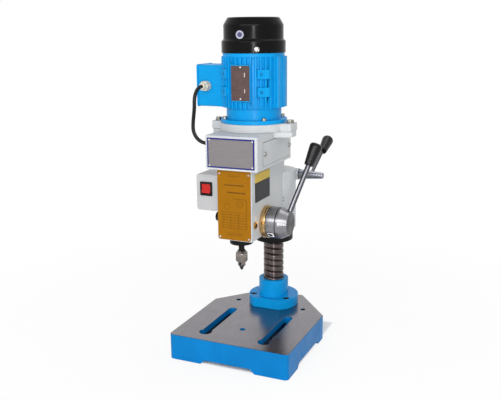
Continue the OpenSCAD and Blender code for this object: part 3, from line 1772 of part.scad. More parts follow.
// One jaw: a sloping pin with a flat grip, cut to a third of the round
module jaw(i) {
  reach = 2 * jaw_d;
  tip_flat = 0.5;
  color("dimgray")
  intersection() {
    jaw_place(i)
      translate([0, 0, -jaw_d])
        cylinder(d = jaw_d, h = jaw_l + jaw_d - 3);
    translate([0, spindle_y, chuck_tip_z])
      rotate(90 + 120 * i)
        linear_extrude(jaw_l)
          polygon([[jaw_gap, 0], [jaw_gap + reach * cos(60), reach * sin(60)],
            [jaw_gap + 3 * reach, 0], [jaw_gap + reach * cos(60), -reach * sin(60)]]);
    translate([0, spindle_y, chuck_tip_z])
      cylinder(r1 = tip_flat, r2 = tip_flat + jaw_l, h = jaw_l);
  }
}

module chuck_jaw_1() {
  jaw(0);
}

module chuck_jaw_2() {
  jaw(1);
}

module chuck_jaw_3() {
  jaw(2);
}

// Roll angle of an involute at a pressure angle, in degrees
function involute(a) = tan(a) * 180 / PI - a;

// Half the angle of a pinion tooth at a radius
function tooth_half(r) =
  let (at_pitch = (tooth_pitch / 2 - tooth_play) / 2 / pinion_r * 180 / PI,
    a = r > pinion_base_r ? acos(pinion_base_r / r) : 0)
  at_pitch + involute(pressure_angle) - involute(a);

module pinion_outline() {
  radii = [pinion_root_r, pinion_base_r, (pinion_base_r + pinion_tip_r) / 2, pinion_tip_r];
  polygon([for (i = [0:pinion_teeth - 1])
    let (mid = 180 + 360 * i / pinion_teeth)
    each concat(
      [for (r = radii) r * [cos(mid - tooth_half(r)), sin(mid - tooth_half(r))]],
      [for (k = [len(radii) - 1:-1:0])
        radii[k] * [cos(mid + tooth_half(radii[k])), sin(mid + tooth_half(radii[k]))]])]);
}

module feed_shaft() {
  left_x = -housing_side - spring_cap_t + 3 + 2 * free_gap;
  color("lightgray")
  union() {
    bar_x(feed_shaft_d, left_x, hub_end_x - 4, feed_y, feed_z);
    translate([0, feed_y, feed_z])
      along_x(-pinion_w / 2, pinion_w / 2)
        pinion_outline();
  }
}

module feed_hub() {
  edge = 1.5;
  color("silver")
  difference() {
    translate([0, feed_y, feed_z])
      rotate([0, 90, 0])
        rotate_extrude()
          polygon([[feed_shaft_d / 2 + fixed_fit, dial_x], [dial_seat_d / 2, dial_x],
            [dial_seat_d / 2, hub_x], [hub_d / 2 - edge, hub_x], [hub_d / 2, hub_x + edge],
            [hub_d / 2, hub_x + hub_l * 0.25], [hub_end_d / 2, hub_end_x - edge],
            [hub_end_d / 2 - edge, hub_end_x], [0, hub_end_x], [0, hub_end_x - 4],
            [feed_shaft_d / 2 + fixed_fit, hub_end_x - 4]]);
    translate([lever_root_x, feed_y, feed_z])
      aim(lever_dir)
        translate([0, 0, lever_in])
          cylinder(d = lever_d + 2 * fixed_fit, h = hub_d);
  }
}

module feed_lever() {
  color("silver")
  translate([lever_root_x, feed_y, feed_z])
    aim(lever_dir)
      translate([0, 0, lever_in])
        cylinder(d = lever_d, h = lever_l - lever_in);
}

module feed_grip() {
  rod_in = 18;
  color("black")
  translate([lever_root_x, feed_y, feed_z])
    aim(lever_dir)
      translate([0, 0, lever_l - rod_in])
        grip(lever_d, rod_in);
}

module depth_dial() {
  edge = 0.8;
  bore_r = dial_seat_d / 2 + run_fit;
  color("lightgray")
  translate([0, feed_y, feed_z])
    rotate([0, 90, 0])
      rotate_extrude()
        polygon([[bore_r, dial_x], [dial_d / 2 - edge, dial_x], [dial_d / 2, dial_x + edge],
          [dial_d / 2, dial_x + dial_t - edge], [dial_d / 2 - edge, dial_x + dial_t],
          [bore_r, dial_x + dial_t]]);
}

module lock_hub() {
  foot_x = lock_foot_x + free_gap;
  end_r = 2;
  stud_x = -lock_side + stud_cover + 1;
  color("silver")
  difference() {
    translate([0, lock_y, lock_z])
      rotate([0, 90, 0])
        rotate_extrude()
          polygon([[0, stud_x], [lock_stud_d / 2, stud_x],
            [lock_stud_d / 2, foot_x], [lock_hub_d1 / 2, foot_x],
            [lock_hub_d2 / 2, foot_x + lock_hub_l - end_r],
            [lock_hub_d2 / 2 - end_r, foot_x + lock_hub_l], [0, foot_x + lock_hub_l]]);
    translate([lock_rod_x, lock_y, lock_z])
      rotate([lock_up - 90, 0, 0])
        cylinder(d = lock_rod_d + 2 * fixed_fit, h = lock_hub_d1);
  }
}

module lock_rod() {
  color("silver")
  translate([lock_rod_x, lock_y, lock_z])
    rotate([lock_up - 90, 0, 0])
      cylinder(d = lock_rod_d, h = lock_rod_l);
}

module lock_grip() {
  rod_in = 18;
  color("black")
  translate([lock_rod_x, lock_y, lock_z])
    rotate([lock_up - 90, 0, 0])
      translate([0, 0, lock_rod_l - rod_in])
        grip(lock_rod_d, rod_in);
}

base_plate();
column_flange();
flange_screws();
threaded_column();
thrust_washer();
height_nut();
head_casting();
belt_box();
belt_cover();
belt_cover_screws();
badge_plate();
data_plate();
plate_rivets();
side_plate();
oil_plug();
motor_plate();
ear_bolts();
motor_end_bell();
motor_flange_screws();
motor_frame();
stator_core();
head_bearings();
fan_cover();
fan_cover_screws();
motor_nameplate();
junction_box();
junction_lid();
junction_lid_screws();
cable_gland();
motor_lead();
lead_grommet();
switch_box();
switch_bezel();
mains_inlet();
spring_cap();
return_spring();
feed_bush();
drive_belt();
quill();
quill_nose();
spindle_bearings();
spindle();
chuck_body();
chuck_sleeve();
chuck_jaw_1();
chuck_jaw_2();
chuck_jaw_3();
spindle_pulley();
rotor();
motor_pulley();
motor_fan();
feed_shaft();
feed_hub();
feed_lever();
feed_grip();
depth_dial();
lock_hub();
lock_rod();
lock_grip();
rocker();
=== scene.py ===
import json
import math

import bmesh
import bpy
from mathutils import Matrix, Vector


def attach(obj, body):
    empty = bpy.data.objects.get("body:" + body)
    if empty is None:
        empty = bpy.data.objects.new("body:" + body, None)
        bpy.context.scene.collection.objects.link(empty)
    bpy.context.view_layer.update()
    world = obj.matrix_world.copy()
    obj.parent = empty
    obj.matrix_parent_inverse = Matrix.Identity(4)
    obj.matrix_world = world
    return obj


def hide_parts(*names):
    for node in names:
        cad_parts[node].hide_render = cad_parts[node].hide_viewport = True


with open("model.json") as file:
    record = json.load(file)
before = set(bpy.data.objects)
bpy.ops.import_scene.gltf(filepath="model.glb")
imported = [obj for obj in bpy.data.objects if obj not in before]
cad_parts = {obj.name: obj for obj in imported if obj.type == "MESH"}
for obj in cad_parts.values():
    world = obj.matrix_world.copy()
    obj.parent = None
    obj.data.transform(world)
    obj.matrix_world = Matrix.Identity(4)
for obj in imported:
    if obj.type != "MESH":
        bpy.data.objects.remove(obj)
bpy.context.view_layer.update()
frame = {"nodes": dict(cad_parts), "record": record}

# Benchtop drill press: cast base, screw column, swinging head with belt box, upright motor.
# Places and sizes below are in millimetres in the frame of the solids.

scene = bpy.context.scene
record = frame["record"]
BODY_OF = {node: body for body, nodes in record["behaviour"]["bodies"].items() for node in nodes}
MM = 0.001
UP = Vector((0, 0, 1))
RIGHT = Vector((1, 0, 0))
FRONT = Vector((0, -1, 0))

COLUMN = Vector((0, 90, 0))
GROOVE_FROM, GROOVE_TO = 21.2, 20.1
SPINDLE = Vector((0, -75, 0))
MOTOR = Vector((0, -10, 0))
FEED = Vector((0, -40, 270))
DIAL_R = 30.5
FEED_SEAMS, SEAM_HALF = (46.65, 65.95), 0.7
HUB_END = 87.85
LOCK = Vector((0, 118, 335))
PLUG_AT = Vector((38, -90, 274))
BASE_TOP, RIM_DEPTH = 52.0, 1.5
SLOT_ACROSS = (48.0, 78.0)
SLOT_ALONG = (-130.0, 18.0)
# level below which the slot walls get painted shade
SLOT_SHADE_BELOW_Z = 38.8
BENCH_HOLE = (75.0, 70.0)
BENCH_HOLE_R = 5.8

# Levers: angles, and the way that each rod points
LEVER_LEAN, LEVER_UP = math.radians(14), math.radians(66)
LEVER_WAY = Vector((math.sin(LEVER_LEAN), math.cos(LEVER_LEAN) * math.cos(LEVER_UP),
                    math.cos(LEVER_LEAN) * math.sin(LEVER_UP)))
LEVER_ROOT = FEED + Vector((77.1, 0, 0))
LOCK_UP = math.radians(27)
LOCK_WAY = Vector((0, math.cos(LOCK_UP), math.sin(LOCK_UP)))
LOCK_ROOT = LOCK + Vector((72.75, 0, 0))

# Camera of the photograph: place in metres, axes to the right, up and back, lens on a 36 mm sensor
CAMERA_AT = (0.55552, -1.27978, 0.631245)
CAMERA_RIGHT = (0.914241, 0.405077, -0.008763)
CAMERA_UP = (-0.085682, 0.214428, 0.972975)
CAMERA_BACK = (0.396009, -0.888782, 0.230746)
CAMERA_LENS = 51.476


def srgb(red, green, blue):
    """A colour as it is seen on a screen, 0 to 255, as shader values."""
    def linear(part):
        part /= 255
        return part / 12.92 if part <= 0.04045 else ((part + 0.055) / 1.055) ** 2.4
    return (linear(red), linear(green), linear(blue), 1.0)


def new_object(name, data):
    made = bpy.data.objects.new(name, data)
    scene.collection.objects.link(made)
    return made


# Node helpers

def put(tree, kind, inputs=None, **settings):
    """A node with its settings; an input is a constant or another node's output."""
    made = tree.nodes.new(kind)
    for key, value in settings.items():
        setattr(made, key, value)
    for key, value in (inputs or {}).items():
        if isinstance(value, bpy.types.NodeSocket):
            tree.links.new(value, made.inputs[key])
        else:
            made.inputs[key].default_value = value
    return made


def calc(tree, operation, first, second=0.0, clamp=False):
    made = put(tree, "ShaderNodeMath", {0: first, 1: second}, operation=operation, use_clamp=clamp)
    return made.outputs[0]


def product(tree, *factors):
    total = factors[0]
    for factor in factors[1:]:
        total = calc(tree, "MULTIPLY", total, factor)
    return total


def hypotenuse(tree, first, second):
    squares = calc(tree, "ADD", product(tree, first, first), product(tree, second, second))
    return calc(tree, "SQRT", squares)


def vector_calc(tree, operation, first, second):
    return put(tree, "ShaderNodeVectorMath", {0: first, 1: second}, operation=operation).outputs[0]


def vector_length(tree, operation, first, second=(0.0, 0.0, 0.0)):
    return put(tree, "ShaderNodeVectorMath", {0: first, 1: second}, operation=operation).outputs["Value"]


def blend_values(tree, share, first, second):
    return put(tree, "ShaderNodeMix", {0: share, 2: first, 3: second}).outputs[0]


def blend_colours(tree, share, first, second):
    return put(tree, "ShaderNodeMix", {0: share, 6: first, 7: second}, data_type="RGBA").outputs[2]


def ramp_value(tree, value, low, high, to_low=0.0, to_high=1.0):
    made = put(tree, "ShaderNodeMapRange", {"Value": value, "From Min": low, "From Max": high,
                                            "To Min": to_low, "To Max": to_high})
    return made.outputs["Result"]


def rise_at(tree, value, level, soft=0.4, full=1.0):
    """Nothing up to a level in millimetres, and the full share from a soft edge above it."""
    return ramp_value(tree, value, level * MM, (level + soft) * MM, 0.0, full)


def fall_at(tree, value, level, soft=0.4):
    """One up to a level in millimetres, and nothing from a soft edge above it."""
    return ramp_value(tree, value, level * MM, (level + soft) * MM, 1.0, 0.0)


def between(tree, value, low, high, soft=0.2):
    return product(tree, rise_at(tree, value, low, soft), fall_at(tree, value, high, soft))


def noise(tree, place, scale, detail=2.0, roughness=0.5):
    made = put(tree, "ShaderNodeTexNoise", {"Vector": place, "Scale": scale, "Detail": detail,
                                            "Roughness": roughness})
    return made.outputs["Fac"]


def object_place(tree):
    return put(tree, "ShaderNodeTexCoord").outputs["Object"]


def object_axes(tree):
    return put(tree, "ShaderNodeSeparateXYZ", {0: object_place(tree)}).outputs


def edge_share(tree):
    """One on the rounded edges of a piece."""
    return put(tree, "ShaderNodeAttribute", attribute_name="edge").outputs["Fac"]


def seen_directly(tree):
    """One for the rays of the camera, of reflections and of see-through pieces."""
    rays = put(tree, "ShaderNodeLightPath").outputs
    seen = calc(tree, "MAXIMUM", rays["Is Camera Ray"], rays["Is Glossy Ray"])
    return calc(tree, "MAXIMUM", seen, rays["Is Transmission Ray"])


def node_group(name, kind, inputs, outputs):
    """An empty group with its sockets by their kinds, and its input and output nodes."""
    tree = bpy.data.node_groups.new(name, kind + "NodeTree")
    for way, sockets in (("INPUT", inputs), ("OUTPUT", outputs)):
        for socket, labels in sockets.items():
            for label in labels:
                tree.interface.new_socket(label, in_out=way, socket_type="NodeSocket" + socket)
    return tree, put(tree, "NodeGroupInput").outputs, put(tree, "NodeGroupOutput").inputs


# Shared finishes, as shader groups

MASK_OUTPUT = {"Float": ("Mask",)}


def finish_group(name, colours, values=(), vectors=()):
    """A group that puts out a finish: a colour, a roughness and a height."""
    inputs = {"Color": colours, "Float": (*values, "Low gloss", "High gloss"), "Vector": vectors}
    return node_group(name, "Shader", inputs, {"Color": ("Color",), "Float": ("Roughness", "Height")})


def end_finish(tree, given, result, colour, height, share, low=0.3, high=0.7):
    """The finish's outputs; its gloss goes from high to low with a share."""
    tree.links.new(colour, result["Color"])
    gloss = ramp_value(tree, share, low, high, given["High gloss"], given["Low gloss"])
    tree.links.new(gloss, result["Roughness"])
    tree.links.new(height, result["Height"])
    return tree


def make_paint_film():
    """Sprayed enamel: cloudy colour, orange peel, bare edges where the paint is thin, and a painted shade
    line along the rounded edges where one is asked for.
    """
    tree, given, result = finish_group(
        "paint_film", ("Paint", "Thin paint", "Bare or shaded edge"), ("Wear", "Edge shade line"))
    place = object_place(tree)
    clouds = ramp_value(tree, noise(tree, place, 14.0, 3.0), 0.35, 0.7)
    flow = noise(tree, place, 85.0)
    peel = noise(tree, place, 620.0)
    scuff = noise(tree, place, 240.0, 4.0, 0.7)
    edge = edge_share(tree)
    worn_or_shaded = product(tree, edge, ramp_value(tree, scuff, 0.56, 0.66))
    worn_or_shaded = calc(tree, "MULTIPLY", worn_or_shaded, given["Wear"], clamp=True)
    # painted shade: a dark line along the rounded edges, in the bare or shaded edge colour
    worn_or_shaded = calc(tree, "MAXIMUM", worn_or_shaded, product(tree, edge, given["Edge shade line"]))
    colour = blend_colours(tree, clouds, given["Paint"], given["Thin paint"])
    colour = blend_colours(tree, worn_or_shaded, colour, given["Bare or shaded edge"])
    return end_finish(tree, given, result, colour, calc(tree, "ADD", product(tree, peel, 0.4), flow), flow)


def make_lathe_marks():
    """Fine rings round an axis, as a lathe leaves them."""
    tree, given, result = finish_group(
        "lathe_marks", ("Metal", "Dark ring"), ("Rings",), ("Centre", "Axis"))
    place = object_place(tree)
    offset = vector_calc(tree, "SUBTRACT", place, given["Centre"])
    along = vector_length(tree, "DOT_PRODUCT", offset, given["Axis"])
    lift = put(tree, "ShaderNodeVectorMath", {0: given["Axis"], "Scale": along}, operation="SCALE")
    radius = vector_length(tree, "DISTANCE", offset, lift.outputs[0])
    rings = put(tree, "ShaderNodeCombineXYZ", {"X": radius, "Y": along}).outputs[0]
    streak = noise(tree, rings, given["Rings"], 4.0, 0.6)
    smear = noise(tree, place, 60.0, 3.0)
    colour = blend_colours(tree, ramp_value(tree, streak, 0.3, 0.7), given["Dark ring"], given["Metal"])
    mixed = calc(tree, "ADD", product(tree, streak, 0.6), product(tree, smear, 0.4))
    return end_finish(tree, given, result, colour, streak, mixed)


def make_straight_marks():
    """Straight scratches in one direction, as brushing, drawing or grinding leaves them."""
    tree, given, result = finish_group("straight_marks", ("Metal", "Dark streak"), vectors=("Stretch",))
    place = object_place(tree)
    streak = noise(tree, vector_calc(tree, "MULTIPLY", place, given["Stretch"]), 1.0, 4.0, 0.65)
    smear = noise(tree, place, 18.0, 4.0, 0.6)
    colour = blend_colours(tree, ramp_value(tree, streak, 0.3, 0.7), given["Dark streak"], given["Metal"])
    shade = ramp_value(tree, smear, 0.35, 0.7, 0.0, 0.3)
    colour = blend_colours(tree, shade, colour, given["Dark streak"])
    mixed = calc(tree, "ADD", product(tree, streak, 0.5), product(tree, smear, 0.5))
    return end_finish(tree, given, result, colour, streak, mixed)


def make_moulded_skin():
    """Moulded plastic or rubber: faint flow clouds and a fine grain."""
    tree, given, result = finish_group("moulded_skin", ("Plastic", "Shade"), ("Grain",))
    place = object_place(tree)
    clouds = ramp_value(tree, noise(tree, place, 45.0, 3.0), 0.35, 0.7)
    colour = blend_colours(tree, clouds, given["Plastic"], given["Shade"])
    grain = noise(tree, place, given["Grain"])
    return end_finish(tree, given, result, colour, grain, clouds, 0.0, 1.0)


def make_box_mask(soft=0.00012):
    """One inside an upright rectangle of a flat plate, with soft edges; sizes in metres."""
    labels = ("Across", "Height", "Left", "Right", "Low", "High")
    tree, given, result = node_group("box_mask", "Shader", {"Float": labels}, MASK_OUTPUT)
    sides = []
    for value, low, high in (("Across", "Left", "Right"), ("Height", "Low", "High")):
        for larger, smaller in ((value, low), (high, value)):
            gap = calc(tree, "SUBTRACT", given[larger], given[smaller])
            sides.append(ramp_value(tree, gap, -soft, soft))
    tree.links.new(product(tree, *sides), result["Mask"])
    return tree


def make_ruled_lines(soft=0.0001):
    """Evenly spaced thin lines along one coordinate; sizes in metres."""
    labels = ("Along", "Start", "Step", "Width")
    tree, given, result = node_group("ruled_lines", "Shader", {"Float": labels}, MASK_OUTPUT)
    shifted = calc(tree, "DIVIDE", calc(tree, "SUBTRACT", given["Along"], given["Start"]), given["Step"])
    near = calc(tree, "ABSOLUTE", calc(tree, "SUBTRACT", shifted, calc(tree, "ROUND", shifted)))
    gap = calc(tree, "SUBTRACT", product(tree, given["Width"], 0.5), product(tree, near, given["Step"]))
    tree.links.new(ramp_value(tree, gap, -soft, soft), result["Mask"])
    return tree


PAINT_FILM = make_paint_film()
LATHE_MARKS = make_lathe_marks()
STRAIGHT_MARKS = make_straight_marks()
MOULDED_SKIN = make_moulded_skin()
BOX_MASK = make_box_mask()
RULED_LINES = make_ruled_lines()


def use_group(tree, group, inputs):
    return put(tree, "ShaderNodeGroup", inputs, node_tree=group).outputs


def film_of(tree, group, gloss, inputs):
    return use_group(tree, group, {**inputs, "High gloss": gloss[0], "Low gloss": gloss[1]})


# line is the share of painted shade along the rounded edges; bare_or_shaded colours both bare edges and that
# shade
def paint_film(tree, paint, thin, bare_or_shaded, wear, gloss, line=0.0):
    return film_of(tree, PAINT_FILM, gloss, {
        "Paint": srgb(*paint), "Thin paint": srgb(*thin), "Bare or shaded edge": srgb(*bare_or_shaded), "Wear": wear,
        "Edge shade line": line})


def lathe_film(tree, metal, dark, centre, axis, rings, gloss):
    return film_of(tree, LATHE_MARKS, gloss, {
        "Metal": srgb(*metal), "Dark ring": srgb(*dark), "Centre": centre * MM, "Axis": axis, "Rings": rings})


def straight_film(tree, metal, dark, stretch, gloss):
    return film_of(tree, STRAIGHT_MARKS, gloss, {
        "Metal": srgb(*metal), "Dark streak": srgb(*dark), "Stretch": stretch})


def moulded_film(tree, plastic, shade, grain, gloss):
    return film_of(tree, MOULDED_SKIN, gloss, {
        "Plastic": srgb(*plastic), "Shade": srgb(*shade), "Grain": grain})


# Materials

FINISHES = {}
PAINT_DEPTH, METAL_DEPTH, SKIN_DEPTH = 0.0004, 0.0001, 0.0002


def new_material(name, bump, depth, **constants):
    """A material with a plain shader and a bump node; both are given back with their tree."""
    material = bpy.data.materials.new(name)
    FINISHES[name] = material
    material.use_nodes = True
    tree = material.node_tree
    shader = tree.nodes["Principled BSDF"]
    for key, value in constants.items():
        shader.inputs[key.replace("_", " ")].default_value = value
    relief = put(tree, "ShaderNodeBump", {"Strength": bump, "Distance": depth})
    tree.links.new(relief.outputs["Normal"], shader.inputs["Normal"])
    return tree, shader, relief


def dress(tree, shader, relief, film, colour=None):
    """Links a film to its shader; another colour can take the place of the film's own."""
    tree.links.new(film["Color"] if colour is None else colour, shader.inputs["Base Color"])
    tree.links.new(film["Roughness"], shader.inputs["Roughness"])
    tree.links.new(film["Height"], relief.inputs["Height"])


def plain_finish(name, film, values, bump, depth, **constants):
    """A material whose colour, gloss and relief all come from one shared finish."""
    tree, shader, relief = new_material(name, bump, depth, **constants)
    dress(tree, shader, relief, film(tree, *values))


def draw_out_highlight(tree, shader, axis, amount):
    """Lathe rings spread a highlight along the axis that they run round."""
    rings = put(tree, "ShaderNodeTangent", direction_type="RADIAL", axis=axis)
    tree.links.new(rings.outputs["Tangent"], shader.inputs["Tangent"])
    shader.inputs["Anisotropic"].default_value = amount
    shader.inputs["Anisotropic Rotation"].default_value = 0.25


def base_enamel():
    """Blue enamel all round the base, and a ground iron top; painted shade deep in the slots and bolt holes,
    and along the top's rounded edges.
    """
    tree, shader, relief = new_material("base_enamel", 0.12, PAINT_DEPTH, Specular_IOR_Level=0.1)
    paint = paint_film(tree, (0, 117, 184), (0, 105, 168), (38, 62, 84), 0.5, (0.28, 0.42))
    ground = straight_film(tree, (143, 140, 145), (115, 112, 117), (900.0, 26.0, 40.0), (0.16, 0.3))
    place = object_axes(tree)
    side = calc(tree, "ABSOLUTE", place["X"])
    normal = put(tree, "ShaderNodeNewGeometry").outputs["True Normal"]
    facing = put(tree, "ShaderNodeSeparateXYZ", {0: normal}).outputs
    top = product(tree, ramp_value(tree, facing["Z"], 0.85, 0.95), rise_at(tree, place["Z"], BASE_TOP - 0.8))
    in_slot = product(tree, between(tree, side, *SLOT_ACROSS), between(tree, place["Y"], *SLOT_ALONG),
                      fall_at(tree, place["Z"], SLOT_SHADE_BELOW_Z, 1.0))
    from_hole = hypotenuse(tree, calc(tree, "SUBTRACT", side, BENCH_HOLE[0] * MM),
                           calc(tree, "SUBTRACT", place["Y"], BENCH_HOLE[1] * MM))
    in_hole = product(tree, fall_at(tree, from_hole, BENCH_HOLE_R, 0.2),
                      fall_at(tree, place["Z"], BASE_TOP - RIM_DEPTH, 0.8))
    slot_and_hole_shade = calc(tree, "MAXIMUM", in_slot, in_hole)
    # painted shade: near-black deep in the slots and in the bolt holes, where shade falls
    colour = blend_colours(tree, slot_and_hole_shade, paint["Color"], srgb(14, 15, 18))
    # painted shade: a dark line on the rounded edges along the top
    top_edge_shade = product(tree, edge_share(tree), rise_at(tree, place["Z"], BASE_TOP - RIM_DEPTH, full=0.85))
    colour = blend_colours(tree, top_edge_shade, colour, srgb(30, 44, 60))
    film = {label: blend_values(tree, top, paint[label], ground[label]) for label in ("Roughness", "Height")}
    dress(tree, shader, relief, film, blend_colours(tree, top, colour, ground["Color"]))
    tree.links.new(top, shader.inputs["Metallic"])


def column_steel():
    """Turned steel screw, with dark brown painted shade in the groove, in patches."""
    tree, shader, relief = new_material("column_steel", 0.08, METAL_DEPTH, Metallic=1.0)
    rings = lathe_film(tree, (108, 99, 97), (74, 67, 65), COLUMN, UP, 900.0, (0.28, 0.36))
    draw_out_highlight(tree, shader, "Z", 0.9)
    place = object_place(tree)
    flat = vector_calc(tree, "SUBTRACT", place, COLUMN * MM)
    radius = vector_length(tree, "LENGTH", vector_calc(tree, "MULTIPLY", flat, (1.0, 1.0, 0.0)))
    # painted shade: the groove darkens to dark brown, more in some patches than others
    groove = ramp_value(tree, radius, GROOVE_FROM * MM, GROOVE_TO * MM)
    shade_patches = ramp_value(tree, noise(tree, place, 50.0, 3.0), 0.3, 0.65, 0.55, 1.0)
    colour = blend_colours(tree, product(tree, groove, shade_patches), rings["Color"], srgb(46, 32, 28))
    dress(tree, shader, relief, rings, colour)


def feed_aluminium():
    """Turned aluminium of the dial and hub, with painted shade in the seams between them and on the end face.
    """
    tree, shader, relief = new_material("feed_aluminium", 0.03, METAL_DEPTH, Metallic=0.85)
    rings = lathe_film(tree, (146, 146, 150), (130, 130, 134), FEED, RIGHT, 1500.0, (0.28, 0.34))
    draw_out_highlight(tree, shader, "X", 0.8)
    along = object_axes(tree)["X"]
    # painted shade: the hub's flat end face darker than the turned faces
    colour = blend_colours(tree, rise_at(tree, along, HUB_END, 0.1), rings["Color"], srgb(68, 68, 71))
    # painted shade: dark bands at the seams between collar, dial and hub
    for seam in FEED_SEAMS:
        gap = calc(tree, "ABSOLUTE", calc(tree, "SUBTRACT", along, seam * MM))
        colour = blend_colours(tree, fall_at(tree, gap, SEAM_HALF, 0.3), colour, srgb(34, 34, 36))
    dress(tree, shader, relief, rings, colour)


def chrome_rod(name, root, way):
    """Chrome plate on a thin rod, with a painted reflection: pale along the middle, dark where it turns away.
    """
    tree, shader, relief = new_material(name, 0.01, METAL_DEPTH, Metallic=1.0)
    plated = lathe_film(tree, (106, 107, 113), (100, 101, 107), root, way, 60.0, (0.2, 0.26))
    turned_away = put(tree, "ShaderNodeLayerWeight", {"Blend": 0.5}).outputs["Facing"]
    # painted reflection: darker towards the rod's edges as seen
    share = ramp_value(tree, turned_away, 0.12, 0.5)
    dress(tree, shader, relief, plated, blend_colours(tree, share, plated["Color"], srgb(50, 50, 54)))


def plate_print(name, ground, shade, layers, metallic=0.0, stretch=(60.0, 60.0, 60.0), bump=0.04):
    """A printed sheet: a ground finish, then flat colours laid over it by masks of the sheet's place."""
    tree, shader, relief = new_material(name, bump, METAL_DEPTH, Metallic=metallic, Specular_IOR_Level=0.12)
    film = straight_film(tree, ground, shade, stretch, (0.3, 0.42))
    axes = object_axes(tree)
    colour = film["Color"]
    for ink, mask in layers:
        colour = blend_colours(tree, mask(tree, axes), colour, srgb(*ink))
    dress(tree, shader, relief, film, colour)


def in_box(left, right, low, high, across="X"):
    """Mask of a rectangle, in millimetres."""
    def mask(tree, axes):
        return use_group(tree, BOX_MASK, {
            "Across": axes[across], "Height": axes["Z"], "Left": left * MM, "Right": right * MM,
            "Low": low * MM, "High": high * MM})["Mask"]
    return mask


def not_in(mask):
    return lambda tree, axes: calc(tree, "SUBTRACT", 1.0, mask(tree, axes))


def lines_in(box, along, start, step, width, strength=1.0):
    """Mask of ruled lines inside a rectangle, in millimetres."""
    def mask(tree, axes):
        lines = use_group(tree, RULED_LINES, {
            "Along": axes[along], "Start": start * MM, "Step": step * MM, "Width": width * MM})["Mask"]
        return product(tree, lines, strength, in_box(*box)(tree, axes))
    return mask


def ring_at(across, height, radius, width):
    """Mask of a thin circle on the front of a plate, in millimetres."""
    def mask(tree, axes):
        length = hypotenuse(tree, calc(tree, "SUBTRACT", axes["X"], across * MM),
                            calc(tree, "SUBTRACT", axes["Z"], height * MM))
        near = calc(tree, "ABSOLUTE", calc(tree, "SUBTRACT", length, radius * MM))
        return ramp_value(tree, near, width * MM * 0.5, width * MM * 0.2)
    return mask


ENAMELS = [
    # finish, relief, shine, paint, thin paint, bare or shaded edge, wear, gloss, painted shade line along the
    # edges
    ("flange_enamel", 0.12, 0.14, (0, 140, 206), (0, 128, 191), (40, 66, 88), 0.5, (0.26, 0.4)),
    ("motor_enamel", 0.12, 0.14, (0, 144, 209), (0, 136, 198), (60, 130, 180), 0.4, (0.3, 0.44)),
    ("head_enamel", 0.12, 0.25, (190, 193, 195), (183, 186, 189), (140, 142, 141), 0.5, (0.3, 0.42)),
    # the belt cover's dark edge colour and its edge line are painted shade along the cover's seam
    ("cover_enamel", 0.12, 0.25, (190, 193, 195), (183, 186, 189), (104, 106, 108), 0.5, (0.3, 0.42), 0.85),
    ("cover_black", 0.04, 0.1, (9, 9, 10), (7, 7, 8), (30, 30, 32), 0.4, (0.16, 0.24)),
    ("ring_black", 0.12, 0.11, (20, 20, 21), (16, 16, 17), (56, 53, 51), 0.6, (0.3, 0.45)),
]
DRAWN = [
    # finish, metal, dark streak, stretch, gloss
    ("black_oxide", (66, 62, 60), (40, 37, 36), (700.0, 700.0, 60.0), (0.3, 0.5)),
    ("bright_heads", (196, 196, 194), (140, 139, 137), (500.0, 500.0, 500.0), (0.2, 0.38)),
    ("bolt_zinc", (166, 162, 155), (116, 112, 106), (400.0, 400.0, 90.0), (0.3, 0.48)),
    ("spring_blue", (96, 104, 128), (62, 68, 90), (60.0, 700.0, 700.0), (0.2, 0.36)),
]
TURNED = [
    # finish, relief, metal, dark ring, centre, axis, rings, gloss
    ("turned_brass", 0.06, (220, 186, 134), (190, 152, 102), FEED, RIGHT, 1200.0, (0.2, 0.28)),
    ("plug_brass", 0.06, (214, 160, 60), (150, 104, 40), PLUG_AT, RIGHT, 900.0, (0.2, 0.35)),
    ("lock_steel", 0.02, (152, 154, 161), (140, 142, 149), LOCK, RIGHT, 900.0, (0.26, 0.34)),
    ("chuck_steel", 0.06, (160, 152, 146), (106, 99, 94), SPINDLE, UP, 1300.0, (0.16, 0.32)),
    ("arbor_black", 0.06, (44, 41, 40), (26, 24, 24), SPINDLE, UP, 1400.0, (0.3, 0.45)),
    ("spindle_steel", 0.06, (126, 124, 122), (88, 86, 84), SPINDLE, UP, 1500.0, (0.2, 0.36)),
    ("rotor_steel", 0.06, (136, 132, 126), (96, 92, 86), MOTOR, UP, 1200.0, (0.25, 0.42)),
    ("stator_sheets", 0.2, (124, 112, 98), (78, 70, 62), MOTOR, UP, 1800.0, (0.3, 0.5)),
    ("pulley_alloy", 0.06, (178, 180, 182), (140, 142, 144), SPINDLE, UP, 1200.0, (0.25, 0.4)),
    ("washer_steel", 0.06, (150, 146, 142), (110, 106, 102), COLUMN, UP, 1200.0, (0.25, 0.4)),
]
